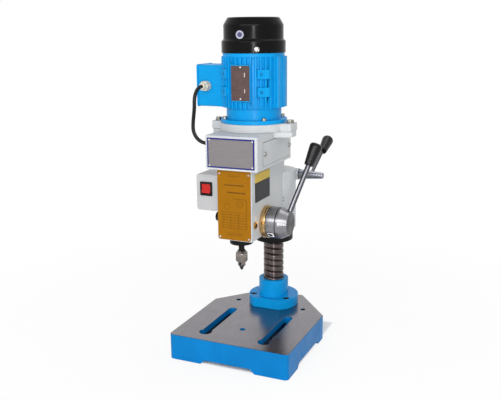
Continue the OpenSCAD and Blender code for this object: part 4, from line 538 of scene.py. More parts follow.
MOULDED = [
    # finish, relief, shine, plastic, shade, grain, gloss
    ("grip_black", 0.03, 0.2, (18, 18, 20), (24, 24, 26), 900.0, (0.2, 0.3)),
    ("cable_black", 0.08, 0.2, (20, 21, 23), (28, 29, 31), 1400.0, (0.36, 0.5)),
    ("belt_black", 0.2, 0.3, (24, 24, 24), (36, 35, 34), 1600.0, (0.6, 0.8)),
    ("frame_black", 0.06, 0.2, (16, 16, 17), (22, 22, 23), 1200.0, (0.3, 0.44)),
    ("gland_cream", 0.05, 0.3, (214, 206, 188), (200, 190, 170), 800.0, (0.3, 0.45)),
    ("switch_white", 0.05, 0.3, (174, 174, 175), (168, 168, 170), 1100.0, (0.3, 0.42)),
    ("rocker_red", 0.02, 0.4, (176, 12, 9), (162, 9, 6), 500.0, (0.12, 0.2)),
    ("flat_pale", 0.03, 0.3, (236, 236, 239), (226, 226, 229), 900.0, (0.3, 0.4)),
    ("mark_dark", 0.05, 0.3, (58, 59, 61), (48, 49, 51), 900.0, (0.4, 0.6)),
    # painted shade of small holes, and the colour of small dark parts
    ("hole_dark", 0.05, 0.1, (20, 22, 26), (14, 15, 18), 900.0, (0.5, 0.7)),
    ("pad_hole_blue", 0.05, 0.2, (0, 70, 124), (0, 58, 104), 900.0, (0.4, 0.6)),
    ("label_grey", 0.03, 0.3, (168, 168, 184), (156, 156, 172), 900.0, (0.3, 0.45)),
    ("label_blue", 0.03, 0.3, (70, 72, 110), (58, 60, 96), 900.0, (0.3, 0.45)),
]
for finish, bump, shine, *values in ENAMELS:
    plain_finish(finish, paint_film, values, bump, PAINT_DEPTH, Specular_IOR_Level=shine)
for finish, *values in DRAWN:
    plain_finish(finish, straight_film, values, 0.05, METAL_DEPTH, Metallic=1.0)
for finish, bump, *values in TURNED:
    plain_finish(finish, lathe_film, values, bump, METAL_DEPTH, Metallic=1.0)
for finish, bump, shine, *values in MOULDED:
    plain_finish(finish, moulded_film, values, bump, SKIN_DEPTH, Specular_IOR_Level=shine)
base_enamel()
column_steel()
feed_aluminium()
chrome_rod("lever_chrome", LEVER_ROOT, LEVER_WAY)
chrome_rod("lock_chrome", LOCK_ROOT, LOCK_WAY)

BORDER_BLUE, OCHRE_INK, BAND_YELLOW = (52, 54, 124), (76, 48, 8), (196, 168, 66)
NAME_LINE, NAME_BAR = (112, 92, 86), (196, 188, 184)
DATA_TABLE = (-24.0, 26.0, 268.0, 300.0)
DATA_SKETCH = (-2.0, 26.0, 302.0, 326.0)
DATA_MASKS = [
    lines_in((-12.0, 12.0, 366.0, 372.0), "Z", 368.5, 3.4, 1.1, 0.7),
    lines_in((-20.0, 20.0, 349.0, 354.0), "Z", 351.4, 9.0, 2.4, 0.7),
    lines_in((-14.0, 24.0, 334.0, 341.0), "Z", 337.5, 9.0, 2.8, 0.7),
    lines_in(DATA_SKETCH, "Z", 325.6, 40.0, 0.7),
    lines_in(DATA_SKETCH, "X", 25.6, 60.0, 0.7),
    ring_at(12.0, 316.0, 6.6, 0.9),
    ring_at(12.0, 316.0, 3.2, 0.8),
    ring_at(-14.0, 310.0, 5.4, 0.8),
    lines_in(DATA_TABLE, "Z", 268.5, 5.2, 0.6, 0.9),
    lines_in(DATA_TABLE, "X", -23.6, 16.4, 0.7, 0.9),
    lines_in((-16.0, 18.0, 253.0, 261.0), "Z", 255.2, 3.6, 1.0, 0.65),
]
plate_print("badge_sheet", (142, 138, 139), (130, 126, 127), [
    (BORDER_BLUE, not_in(in_box(-44.7, 44.7, 387.8, 437.7)))], 0.8, (30.0, 1.0, 900.0), 0.02)
plate_print("data_sheet", (148, 97, 3), (140, 91, 2), [(OCHRE_INK, mask) for mask in DATA_MASKS])
plate_print("side_sheet", (4, 4, 6), (3, 3, 4), [
    ((30, 30, 36), in_box(-86.0, -23.0, 317.0, 352.0, "Y")),
    (BAND_YELLOW, in_box(-120.0, 0.0, 354.6, 400.0, "Y"))])
plate_print("name_sheet", (92, 76, 74), (78, 63, 61), [
    (NAME_LINE, lines_in((-15.0, 15.0, 512.0, 558.0), "Z", 514.0, 4.4, 0.5, 0.6)),
    (NAME_BAR, in_box(8.0, 9.6, 548.0, 556.0)),
    (NAME_BAR, in_box(8.0, 9.6, 519.0, 526.0))], 0.3)


# Shapes

CREASE, HEAD_CREASE, HEXAGON_CREASE = 38.0, 30.0, 25.0
ROUNDED_FROM = 35.0
RIM_STEPS = 5
MERGED_WITHIN, FLAT_WITHIN = 0.002, 0.3
CORNER_REACH = 0.45
ON_AXIS = 1e-6


def smooth(mesh, crease=CREASE):
    """Smooth faces, with the creases kept sharp."""
    mesh.shade_smooth()
    mesh.set_sharp_from_angle(angle=math.radians(crease))
    return mesh


def to_mesh(shape, name, crease=CREASE):
    mesh = bpy.data.meshes.new(name)
    shape.to_mesh(mesh)
    shape.free()
    return smooth(mesh, crease)


def solid_copy(node, edge=0.0, steps=2, rims=None, kept=None):
    """A merged copy of a solid with its sharp edges rounded; the rounded faces carry the value edge.
    Rims are edges with a rounding of their own: a test of an edge, and the rounding.
    Kept is a test of the edges that stay sharp."""
    shape = bmesh.new()
    shape.from_mesh(frame["nodes"][node].data)
    bmesh.ops.remove_doubles(shape, verts=shape.verts, dist=MERGED_WITHIN * MM)
    bmesh.ops.dissolve_limit(shape, angle_limit=math.radians(FLAT_WITHIN), use_dissolve_boundaries=False,
                             verts=shape.verts, edges=shape.edges, delimit=set())
    mark = shape.faces.layers.float.new("edge")

    def round_off(lines, size, parts):
        made = bmesh.ops.bevel(shape, geom=lines, offset=size * MM, offset_type="OFFSET", segments=parts,
                               profile=0.5, affect="EDGES", clamp_overlap=False, loop_slide=True)
        for face in made["faces"]:
            face[mark] = 1.0

    def between_faces(test):
        return [line for line in shape.edges if len(line.link_faces) == 2 and test(line)]

    def is_sharp(line):
        return line.calc_face_angle(0.0) > math.radians(ROUNDED_FROM) and not (kept and kept(line))

    shape.normal_update()
    if rims:
        is_rim, rim_edge = rims
        round_off(between_faces(is_rim), rim_edge, RIM_STEPS)
    if edge:
        round_off(between_faces(is_sharp), edge, steps)
    return to_mesh(shape, node + "_copy")


def rounded(points, radius, steps=4):
    """A profile with its corners rounded."""
    out = [tuple(points[0])]
    for before, corner, after in zip(points, points[1:], points[2:]):
        before, corner, after = Vector(before), Vector(corner), Vector(after)
        reach = min(radius, *(CORNER_REACH * (point - corner).length for point in (before, after)))
        start = corner + (before - corner).normalized() * reach
        end = corner + (after - corner).normalized() * reach
        for k in range(steps + 1):
            t = k / steps
            out.append(tuple(start * (1 - t) ** 2 + corner * (2 * t * (1 - t)) + end * t * t))
    out.append(tuple(points[-1]))
    return out


def bridge(shape, rings):
    """Faces between rings of one count, and a cap on the first and the last."""
    count = len(rings[0])
    for low, high in zip(rings, rings[1:]):
        for k in range(count):
            n = (k + 1) % count
            shape.faces.new((low[k], low[n], high[n], high[k]))
    shape.faces.new(list(reversed(rings[0])))
    shape.faces.new(rings[-1])


def circle_angles(sides):
    return [2 * math.pi * k / sides for k in range(sides)]


def at_angle(radius, angle, height):
    return Vector((radius * math.cos(angle), radius * math.sin(angle), height))


def turned_mesh(name, profile, origin, axis, sides=96, loop=False):
    """A surface of revolution; the profile is a list of radius and distance along the axis."""
    along = Vector(axis).normalized()
    across = along.orthogonal().normalized()
    third = along.cross(across)
    shape = bmesh.new()
    rings = []
    for radius, step in profile:
        middle = Vector(origin) + along * step
        if radius < ON_AXIS:
            rings.append([shape.verts.new(middle * MM)])
            continue
        spots = [middle + across * radius * math.cos(a) + third * radius * math.sin(a)
                 for a in circle_angles(sides)]
        rings.append([shape.verts.new(spot * MM) for spot in spots])
    pairs = list(zip(rings, rings[1:])) + ([(rings[-1], rings[0])] if loop else [])
    for low, high in pairs:
        for k in range(sides):
            n = (k + 1) % sides
            corners = [low[k % len(low)], low[n % len(low)], high[n % len(high)], high[k % len(high)]]
            corners = list(dict.fromkeys(corners))
            if len(corners) > 2:
                shape.faces.new(corners)
    shape.faces.layers.float.new("edge")
    bmesh.ops.recalc_face_normals(shape, faces=shape.faces)
    return to_mesh(shape, name)


def add(name, mesh, finish, body, stands_for=()):
    """A piece that rides on a body, with its finish and the solids that it stands for."""
    piece = new_object(name, mesh)
    mesh.materials.clear()
    mesh.materials.append(FINISHES[finish])
    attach(piece, body)
    if stands_for:
        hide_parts(*stands_for)
    return piece


def add_for(node, name, mesh, finish):
    """A piece that stands for one solid: it rides on the solid's body, and the solid is hidden."""
    return add(name, mesh, finish, BODY_OF[node], [node])


def even_normals(piece):
    """Flat faces stay flat beside their rounded edges."""
    weighted = piece.modifiers.new("flat_faces", "WEIGHTED_NORMAL")
    weighted.keep_sharp = True
    weighted.weight = 100


# Camera and cord

camera = new_object("camera", bpy.data.cameras.new("camera"))
camera.data.sensor_width = 36.0
camera.data.lens = CAMERA_LENS
camera.data.clip_end = 20.0
turn = Matrix((CAMERA_RIGHT, CAMERA_UP, CAMERA_BACK)).transposed().to_4x4()
camera.matrix_world = Matrix.Translation(CAMERA_AT) @ turn
scene.camera = camera

LEAD_D = 7.0
LEAD_BEND = 28.0
STRAIGHT_OUT, STRAIGHT_IN = 2, 6
BEND_STEPS, RUN_STEPS = 12, 16
LEAD_FROM = Vector((-84.0, -66.0, 528.5))
LEAD_TO = Vector((-60.0, -85.0, 424.0))


def lead_route():
    """The motor lead: out of the gland, down in front of the box, and in at the belt box's side."""
    first = LEAD_FROM + Vector((0, -STRAIGHT_OUT, -LEAD_BEND))
    second = LEAD_TO + Vector((-STRAIGHT_IN, 0, LEAD_BEND))
    run_from = first + Vector((0, -LEAD_BEND, 0))
    run_to = second + Vector((-LEAD_BEND, 0, 0))
    route = [LEAD_FROM]
    for k in range(BEND_STEPS):
        a = math.radians(90 / BEND_STEPS * k)
        route.append(first + LEAD_BEND * Vector((0, -math.sin(a), math.cos(a))))
    run = run_to - run_from
    for k in range(RUN_STEPS + 1):
        t = k / RUN_STEPS
        share = (1 - math.cos(math.pi * t)) / 2
        route.append(run_from + Vector((run.x * share, run.y * share, run.z * t)))
    for k in range(1, BEND_STEPS + 1):
        a = math.radians(90 / BEND_STEPS * k)
        route.append(second + LEAD_BEND * Vector((-math.cos(a), 0, -math.sin(a))))
    route.append(LEAD_TO)
    return route


route = lead_route()
lead_curve = bpy.data.curves.new("motor_lead_cord", "CURVE")
lead_curve.dimensions = "3D"
lead_curve.bevel_depth = LEAD_D / 2 * MM
lead_curve.bevel_resolution = 6
lead_curve.use_fill_caps = True
spline = lead_curve.splines.new("POLY")
spline.points.add(len(route) - 1)
for point, place in zip(spline.points, route):
    point.co = (*(place * MM), 1.0)
lead = new_object("motor_lead_cord", lead_curve)
lead_curve.materials.append(FINISHES["cable_black"])
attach(lead, "head")
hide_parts("motor_lead")


# Castings, boxes and plates: copies of the solids, most of them with rounded edges

FROM_SOLIDS = [
    # piece, node, finish, rounding, steps
    ("base_casting", "base_plate", "base_enamel", 0.8, 3),
    ("flange_casting", "column_flange", "flange_enamel", 0.9, 3),
    ("head_body", "head_casting", "head_enamel", 0.9, 3),
    ("belt_side_cover", "belt_cover", "cover_enamel", 0.9, 2),
    ("motor_seat", "motor_plate", "head_enamel", 1.2, 3),
    ("motor_neck", "motor_end_bell", "motor_enamel", 0.9, 3),
    ("motor_body", "motor_frame", "motor_enamel", 0.5, 2),
    ("terminal_box", "junction_box", "motor_enamel", 0.9, 3),
    ("terminal_lid", "junction_lid", "motor_enamel", 0.9, 3),
    ("lead_gland", "cable_gland", "gland_cream", 0.7, 3),
    ("lead_bush", "lead_grommet", "frame_black", 0.5, 2),
    ("switch_case", "switch_box", "switch_white", 1.2, 3),
    ("switch_frame", "switch_bezel", "frame_black", 0.4, 2),
    ("switch_rocker", "rocker", "rocker_red", 0.5, 3),
    ("cable_inlet", "mains_inlet", "frame_black", 0.5, 2),
    ("front_badge", "badge_plate", "badge_sheet", 0.2, 2),
    ("front_data", "data_plate", "data_sheet", 0.2, 2),
    ("side_label", "side_plate", "side_sheet", 0.2, 2),
    ("motor_label", "motor_nameplate", "name_sheet", 0.2, 2),
    ("oil_point", "oil_plug", "plug_brass", 0.3, 2),
    ("chuck_core", "chuck_body", "chuck_steel", 0.0, 2),
    ("chuck_jaw_a", "chuck_jaw_1", "spindle_steel", 0.0, 2),
    ("chuck_jaw_b", "chuck_jaw_2", "spindle_steel", 0.0, 2),
    ("chuck_jaw_c", "chuck_jaw_3", "spindle_steel", 0.0, 2),
    ("quill_tube", "quill", "spindle_steel", 0.0, 2),
    ("spindle_shaft", "spindle", "arbor_black", 0.0, 2),
    ("head_washer", "thrust_washer", "washer_steel", 0.2, 2),
    ("fan_wheel", "motor_fan", "frame_black", 0.0, 2),
]
for piece_name, node, finish, edge, steps in FROM_SOLIDS:
    piece = add_for(node, piece_name, solid_copy(node, edge, steps), finish)
    if edge:
        even_normals(piece)


BELT_ROOM = ((-51, 51), (-117, 54), (382, 444))
COVER_RECESS = ((48, math.inf), (-112, math.inf), (385, 433))


def cover_recess(line):
    """The edges of the side cover's recess and opening, and those inside the belt box."""
    def within(place, room):
        return all(low < value < high for value, (low, high) in zip(place, room))
    places = [corner.co / MM for corner in line.verts]
    return all(within(place, BELT_ROOM) or within(place, COVER_RECESS) for place in places)


housing = solid_copy("belt_box", 0.9, 3, kept=cover_recess)
even_normals(add_for("belt_box", "belt_housing", housing, "head_enamel"))

COWL_SLOTS_R = 46.0
COWL_RIM_FROM = 18.0
INWARDS = -0.1


def cowl_rim(line):
    """The fan cowl's outer rims: both faces look outwards or up, and are clear of the slots."""
    for corner in line.verts:
        if math.hypot(corner.co.x, corner.co.y - MOTOR.y * MM) < COWL_SLOTS_R * MM:
            return False
    for face in line.link_faces:
        middle = face.calc_center_median()
        way = Vector((middle.x, middle.y - MOTOR.y * MM, 0)).normalized()
        if face.normal.z < INWARDS or face.normal.dot(way) < INWARDS:
            return False
    return line.calc_face_angle(0.0) > math.radians(COWL_RIM_FROM)


cowl = solid_copy("fan_cover", 0.35, 2, rims=(cowl_rim, 2.2))
even_normals(add_for("fan_cover", "fan_cowl", cowl, "cover_black"))

# Solids that stay as they are, inside the machine

KEPT_SOLIDS = [
    ("stator_core", "stator_sheets"), ("head_bearings", "spindle_steel"), ("return_spring", "spring_blue"),
    ("drive_belt", "belt_black"), ("spindle_bearings", "spindle_steel"), ("spindle_pulley", "pulley_alloy"),
    ("rotor", "rotor_steel"), ("motor_pulley", "rotor_steel"), ("feed_shaft", "spindle_steel"),
]
for node, finish in KEPT_SOLIDS:
    slots = frame["nodes"][node].data.materials
    slots.clear()
    slots.append(FINISHES[finish])

# Column screw

THREAD_PITCH = 13.0
THREAD_DEPTH = 1.8
THREAD_SHARE = 0.24
COLUMN_R, COLUMN_END_R = 21.5, 17.7
COLUMN_TOP, COLUMN_BEVEL = 380.0, 1.6
THREAD_FROM, THREAD_FADE = 103.0, 3.0


def thread_radius(angle, height):
    """Left-hand screw with a round groove that fades in above the flange."""
    turns = height / THREAD_PITCH + angle / (2 * math.pi)
    share = abs(turns - math.floor(turns) - 0.5) / THREAD_SHARE
    depth = THREAD_DEPTH * (1 + math.cos(math.pi * share)) / 2 if share < 1 else 0.0
    return COLUMN_R - depth * max(0.0, min(1.0, (height - THREAD_FROM) / THREAD_FADE))


def column_mesh(sides=80, rows_per_turn=16):
    shape = bmesh.new()
    rise = THREAD_PITCH / rows_per_turn
    heights = [BASE_TOP, THREAD_FROM - rise]
    while heights[-1] + rise < COLUMN_TOP - COLUMN_BEVEL:
        heights.append(heights[-1] + rise)
    levels = [[at_angle(thread_radius(a, z), a, z) for a in circle_angles(sides)] for z in heights]
    levels.append([at_angle(COLUMN_END_R, a, COLUMN_TOP) for a in circle_angles(sides)])
    bridge(shape, [[shape.verts.new((COLUMN + spot) * MM) for spot in level] for level in levels])
    return to_mesh(shape, "column_screw")


add("column_screw", column_mesh(), "column_steel", "stand", ["threaded_column"])

# Turned pieces

def lathe_piece(name, node, finish, profile, corner, origin, axis, sides=96, loop=False, steps=4):
    """A turned piece that stands for one solid, with its corners rounded."""
    mesh = turned_mesh(name, rounded(profile, corner, steps), origin, axis, sides, loop)
    add_for(node, name, mesh, finish)


def tube(inner, outer, length):
    return [(inner, 0), (outer, 0), (outer, length), (inner, length)]


lathe_piece("height_ring", "height_nut", "ring_black", tube(22.2, 41.0, 25.0), 1.8,
            COLUMN + UP * 197, UP, 128, True)
lathe_piece("quill_end", "quill_nose", "ring_black", tube(6.5, 22.5, 11.9), 1.4,
            SPINDLE + UP * 232, UP, 96, True)
lathe_piece("feed_collar", "feed_bush", "turned_brass", tube(0, 31.5, 10.9), 0.8,
            FEED + RIGHT * 35.5, RIGHT, 128)
lathe_piece("dial_ring", "depth_dial", "feed_aluminium", tube(16.1, DIAL_R, 18.9), 0.8,
            FEED + RIGHT * 46.85, RIGHT, 128, True)
HUB_PROFILE = [(0, -19.2), (15.9, -19.2), (15.9, 0), (DIAL_R, 0), (DIAL_R, 5.5), (22.8, 21.3), (22.0, 22.0),
               (0, 22.0)]
lathe_piece("lever_hub", "feed_hub", "feed_aluminium", HUB_PROFILE, 0.9, FEED + RIGHT * 66.1, RIGHT, 128)

GRIP_PROFILE = [(0, 0), (8.0, 0), (9.0, 1.0), (9.6, 7.0), (11.0, 21.0), (12.0, 32.0), (12.5, 38.6),
                (12.2, 41.4), (11.0, 43.6), (8.6, 45.1), (5.0, 45.85), (0, 46.0)]
lathe_piece("lever_rod", "feed_lever", "lever_chrome", tube(0, 5.0, 126.0), 0.6,
            LEVER_ROOT + LEVER_WAY * 12, LEVER_WAY, 48)
lathe_piece("lever_grip", "feed_grip", "grip_black", GRIP_PROFILE, 1.2,
            LEVER_ROOT + LEVER_WAY * 120, LEVER_WAY, 64, steps=3)

CONE_PROFILE = [(0, -78.8), (4.0, -78.8), (4.0, 0), (10.5, 0), (6.5, 51.0), (4.6, 53.0), (0, 53.0)]
lathe_piece("lock_cone", "lock_hub", "lock_steel", CONE_PROFILE, 0.9, LOCK + RIGHT * 48.05, RIGHT, 64)
washer = turned_mesh("lock_washer", rounded(tube(4.3, 11.2, 1.1), 0.2), LOCK + RIGHT * 47.7, RIGHT, 64, True)
add("lock_washer", washer, "hole_dark", "lock")
lathe_piece("lock_bar", "lock_rod", "lock_chrome", tube(0, 3.5, 104.0), 0.5, LOCK_ROOT, LOCK_WAY, 40)
lathe_piece("lock_knob", "lock_grip", "grip_black", GRIP_PROFILE, 1.2,
            LOCK_ROOT + LOCK_WAY * 86, LOCK_WAY, 64, steps=3)
DRUM_PROFILE = [(0, -33.5), (9.0, -33.5), (9.0, -25.0), (16.0, -25.0), (19.0, -22.0), (19.0, 0), (0, 0)]
lathe_piece("spring_drum", "spring_cap", "ring_black", DRUM_PROFILE, 1.0, FEED - RIGHT * 35.5, RIGHT)
SHELL_PROFILE = [(9.6, 0.3), (10.9, 0.3), (11.2, 1.6), (11.2, 15.4), (10.9, 16.7), (9.6, 16.7)]
lathe_piece("chuck_shell", "chuck_sleeve", "chuck_steel", SHELL_PROFILE, 0.4,
            SPINDLE + UP * 195, UP, 96, True)


# Repeated pieces, by geometry nodes

PIECES_OUTPUT = {"Geometry": ("Pieces",)}


def end_pieces(tree, instances, given, result):
    real = put(tree, "GeometryNodeRealizeInstances", {0: instances})
    painted = put(tree, "GeometryNodeSetMaterial", {"Geometry": real.outputs[0],
                                                    "Material": given["Finish"]})
    tree.links.new(painted.outputs[0], result["Pieces"])
    return tree


def make_heads_at_places():
    """Sets a head on every place, along the way that the place faces."""
    tree, given, result = node_group("heads_at_places", "Geometry", {
        "Geometry": ("Places",), "Object": ("Head",), "Material": ("Finish",)}, PIECES_OUTPUT)
    facing = put(tree, "GeometryNodeInputNamedAttribute", {"Name": "facing"}, data_type="FLOAT_VECTOR")
    turn = put(tree, "FunctionNodeAlignRotationToVector", {"Vector": facing.outputs["Attribute"]}, axis="Z")
    head = put(tree, "GeometryNodeObjectInfo", {"Object": given["Head"]})
    spread = put(tree, "GeometryNodeInstanceOnPoints", {
        "Points": given["Places"], "Instance": head.outputs["Geometry"],
        "Rotation": turn.outputs["Rotation"]})
    return end_pieces(tree, spread.outputs[0], given, result)


def make_ribs_round_axis():
    """Sets one rib many times round an axis."""
    tree, given, result = node_group("ribs_round_axis", "Geometry", {
        "Geometry": ("Places",), "Object": ("Rib",), "Int": ("Count",), "Float": ("Radius",),
        "Vector": ("Centre", "Tilt"), "Material": ("Finish",)}, PIECES_OUTPUT)
    circle = put(tree, "GeometryNodeMeshCircle", {"Vertices": given["Count"], "Radius": given["Radius"]})
    place = put(tree, "GeometryNodeInputPosition")
    turn = put(tree, "FunctionNodeAlignRotationToVector", {"Vector": place.outputs[0]}, axis="X")
    rib = put(tree, "GeometryNodeObjectInfo", {"Object": given["Rib"]})
    spread = put(tree, "GeometryNodeInstanceOnPoints", {
        "Points": circle.outputs["Mesh"], "Instance": rib.outputs["Geometry"],
        "Rotation": turn.outputs["Rotation"]})
    euler = put(tree, "FunctionNodeEulerToRotation", {0: given["Tilt"]})
    moved = put(tree, "GeometryNodeTransform", {
        "Geometry": spread.outputs[0], "Translation": given["Centre"], "Rotation": euler.outputs[0]})
    return end_pieces(tree, moved.outputs[0], given, result)


HEADS_AT_PLACES = make_heads_at_places()
RIBS_ROUND_AXIS = make_ribs_round_axis()


def places_mesh(spots):
    mesh = bpy.data.meshes.new("places")
    mesh.from_pydata([Vector(place) * MM for place, _ in spots], [], [])
    facing = mesh.attributes.new("facing", "FLOAT_VECTOR", "POINT")
    for item, (_, way) in zip(facing.data, spots):
        item.vector = way
    return mesh


def grown(tree, places, inputs):
    """The plain mesh that a tree makes of its inputs."""
    holder = new_object("holder", places)
    rule = holder.modifiers.new("rule", "NODES")
    rule.node_group = tree
    for item in tree.interface.items_tree:
        if item.in_out == "INPUT" and item.name in inputs:
            rule[item.identifier] = inputs[item.name]
    bpy.context.view_layer.update()
    graph = bpy.context.evaluated_depsgraph_get()
    mesh = bpy.data.meshes.new_from_object(holder.evaluated_get(graph))
    bpy.data.objects.remove(holder)
    return smooth(mesh)


TEMPLATES = []


def template(mesh):
    """A shape to be repeated; it is taken out again before the end."""
    shape = new_object("template", mesh)
    TEMPLATES.append(shape)
    return shape


def hexagon_radius(flats, angle):
    return flats / 2 / math.cos(angle % (math.pi / 3) - math.pi / 6)


def socket_head(radius, height, key, sunk, sides=48):
    """Round head with a hexagon socket."""
    shape = bmesh.new()
    levels = [(radius, 0), (radius, height - 0.6), (radius - 0.25, height - 0.15), (radius - 0.6, height),
              (None, height), (None, height - sunk)]
    bridge(shape, [[shape.verts.new(at_angle(size or hexagon_radius(key, a), a, z) * MM)
                    for a in circle_angles(sides)] for size, z in levels])
    return to_mesh(shape, "socket_head", HEAD_CREASE)


def slotted_head(radius, height, slot, sides=24):
    """Low round head with a straight slot."""
    shape = bmesh.new()
    made = bmesh.ops.create_cone(shape, cap_ends=True, segments=48, radius1=radius * MM,
                                 radius2=radius * MM, depth=height * 0.5 * MM)
    bmesh.ops.translate(shape, verts=made["verts"], vec=(0, 0, height * 0.25 * MM))
    for side in (0, math.pi):
        rows = []
        for size, z in ((radius, height * 0.5), (radius * 0.97, height * 0.8), (radius * 0.8, height)):
            begin = math.asin(min(1, slot / 2 / size))
            arc = [begin + (math.pi - 2 * begin) * k / sides for k in range(sides + 1)]
            rows.append([shape.verts.new(at_angle(size, a + side, z) * MM) for a in arc])
        for low, high in zip(rows, rows[1:]):
            for k in range(sides):
                shape.faces.new((low[k], low[k + 1], high[k + 1], high[k]))
            shape.faces.new((low[-1], low[0], high[0], high[-1]))
        shape.faces.new(rows[-1])
    return to_mesh(shape, "slotted_head", HEAD_CREASE)


def hexagon_head(flats, height, washer, thick=1.6, chamfer=1.0, sides=48):
    """Hexagon head with a chamfered top on a washer."""
    shape = bmesh.new()
    corner = flats / math.sqrt(3)
    levels = [(washer, 0, 0), (washer, 0, thick), (None, corner, thick), (None, corner, height - chamfer),
              (None, flats / 2 * 0.98, height)]
    bridge(shape, [[shape.verts.new(at_angle(fixed or min(limit, hexagon_radius(flats, a)), a, z) * MM)
                    for a in circle_angles(sides)] for fixed, limit, z in levels])
    return to_mesh(shape, "hexagon_head", HEXAGON_CREASE)


def dome_head(radius, height, sunk=0.4, steps=6):
    angles = [math.pi / 2 * k / steps for k in range(steps)]
    arc = [(radius * math.cos(a), height * math.sin(a)) for a in angles]
    return turned_mesh("dome_head", [(0, -sunk), (radius, -sunk)] + arc + [(0, height)], (0, 0, 0), UP, 24)


def round_about(centre, radius, degrees, z, facing=None):
    """Places on a circle round an upright axis, facing outwards or all one way."""
    out = []
    for angle in degrees:
        way = Vector((math.cos(math.radians(angle)), math.sin(math.radians(angle)), 0))
        out.append((centre + way * radius + Vector((0, 0, z)), facing or way))
    return out


def set_heads(name, shape, spots, finish, body, nodes=()):
    """One piece with a head on each spot; a spot is a place and the way that it faces."""
    mesh = grown(HEADS_AT_PLACES, places_mesh(spots), {
        "Head": template(shape), "Finish": FINISHES[finish]})
    add(name, mesh, finish, body, nodes)


def disc_mesh(name, inner, outer, lift, sunk=0.5):
    """A thin disc or ring that stands a little proud of the face that it lies on."""
    profile = [(inner, -sunk), (outer, -sunk), (outer, lift), (inner, lift)]
    return turned_mesh(name, profile, (0, 0, 0), UP, 32, inner > 0)


SCREWS = [
    # piece, solid, head, finish, spots
    ("flange_bolts", "flange_screws", socket_head(6.4, 8.0, 6.2, 4.0), "black_oxide",
     round_about(COLUMN, 43.5, (-30, 90, 210), 64, UP)),
    ("cover_bolts", "belt_cover_screws", socket_head(4.5, 2.6, 3.2, 1.6), "bright_heads",
     [(Vector((53, y, 409.75)), RIGHT) for y in (-82.8, 41.3)]),
    ("cowl_bolts", "fan_cover_screws", slotted_head(5.0, 3.0, 1.2), "bright_heads",
     round_about(MOTOR, 60.9, (-61, 59, 179), 597.5)),
    ("neck_bolts", "motor_flange_screws", socket_head(4.0, 5.0, 4.0, 2.4), "bolt_zinc",
     round_about(MOTOR, 59, (-48, 42, 132, 222), 467, UP)),
    ("ear_screws", "ear_bolts", hexagon_head(12.2, 6.2, 7.2), "bolt_zinc",
     [(Vector((x, MOTOR.y, 459.5)), UP) for x in (-75.5, 75.5)]),
    ("lid_bolts", "junction_lid_screws", slotted_head(3.0, 1.8, 0.8), "bright_heads",
     [(Vector((-106.5, MOTOR.y + y, z)), -RIGHT) for y in (-26.4, 26.4) for z in (494.6, 562.4)]),
    ("sheet_rivets", "plate_rivets", dome_head(2.3, 1.2), "bright_heads",
     [(Vector((x, -119.2, z)), FRONT) for x in (-43.3, 43.3) for z in (389.0, 436.5)]
     + [(Vector((x, -106.7, z)), FRONT) for x in (-29.8, 29.8) for z in (249.7, 372.3)]
     + [(Vector((0, MOTOR.y - 62.7, z)), FRONT) for z in (507.5, 565.5)]),
]
for piece_name, node, shape, finish, spots in SCREWS:
    set_heads(piece_name, shape, spots, finish, BODY_OF[node], [node])

PAD_TURN, PAD_OUT, PAD_SHIFT = 40, 65.5, 4.6
pad_spots = []
for side in (-1, 1):
    turn = math.radians(-90 + PAD_TURN * side)
    out = Vector((math.cos(turn), math.sin(turn), 0))
    across = Vector((-math.sin(turn), math.cos(turn), 0))
    middle = MOTOR + out * PAD_OUT - across * side * PAD_SHIFT
    pad_spots += [(middle + UP * z, out) for z in (520.2, 552.8)]
# painted shade: darker blue rings round the holes in the motor's pads
set_heads("pad_holes", disc_mesh("pad_hole", 1.5, 2.7, 0.12), pad_spots, "pad_hole_blue", "head")
CLAMP_R = 47
pin_way = Vector((0.734, -0.679, 0))
pin_spots = [(COLUMN + pin_way * CLAMP_R + UP * z, pin_way) for z in (289.4, 295.4)]
# painted shade: two dark dots for small holes in the clamp
set_heads("clamp_pins", disc_mesh("clamp_pin", 0, 1.2, 0.1), pin_spots, "hole_dark", "head")
# painted shade: a dark disc for the hole round the oil plug
set_heads("plug_hole", disc_mesh("plug_hole", 0, 3.4, 0.12), [(PLUG_AT, RIGHT)], "hole_dark", "head")


def bar_mesh(length, width, height):
    """A small bar along Z with its middle at the origin and its edges softened."""
    shape = bmesh.new()
    bmesh.ops.create_cube(shape, size=1.0)
    bmesh.ops.scale(shape, verts=shape.verts, vec=(height * MM, width * MM, length * MM))
    softening = min(width, height) / 5 * MM
    bmesh.ops.bevel(shape, geom=shape.edges[:], offset=softening, segments=1, affect="EDGES")
    return to_mesh(shape, "bar", HEAD_CREASE)


AXIS_TO_X = (0.0, math.pi / 2, 0.0)
blank = bpy.data.meshes.new("blank")


def set_ribs(name, rib, count, radius, centre, tilt, finish, body):
    mesh = grown(RIBS_ROUND_AXIS, blank, {
        "Rib": template(rib), "Count": count, "Radius": radius * MM, "Centre": centre * MM, "Tilt": tilt,
        "Finish": FINISHES[finish]})
    add(name, mesh, finish, body)


set_ribs("chuck_knurl", bar_mesh(12.0, 0.75, 0.6), 48, 11.2, SPINDLE + UP * 203.5, (0.0, 0.0, 0.0),
         "chuck_steel", "chuck_sleeve")
for piece_name, mark, count, along in (("dial_marks", bar_mesh(4.0, 0.35, 0.12), 60, 49.6),
                                       ("dial_long_marks", bar_mesh(6.6, 0.5, 0.14), 12, 50.9)):
    set_ribs(piece_name, mark, count, DIAL_R, FEED + RIGHT * along, AXIS_TO_X, "mark_dark", "dial")

for shape in TEMPLATES:
    bpy.data.objects.remove(shape)


# Small applied pieces

PATCH_TOP = 0.94


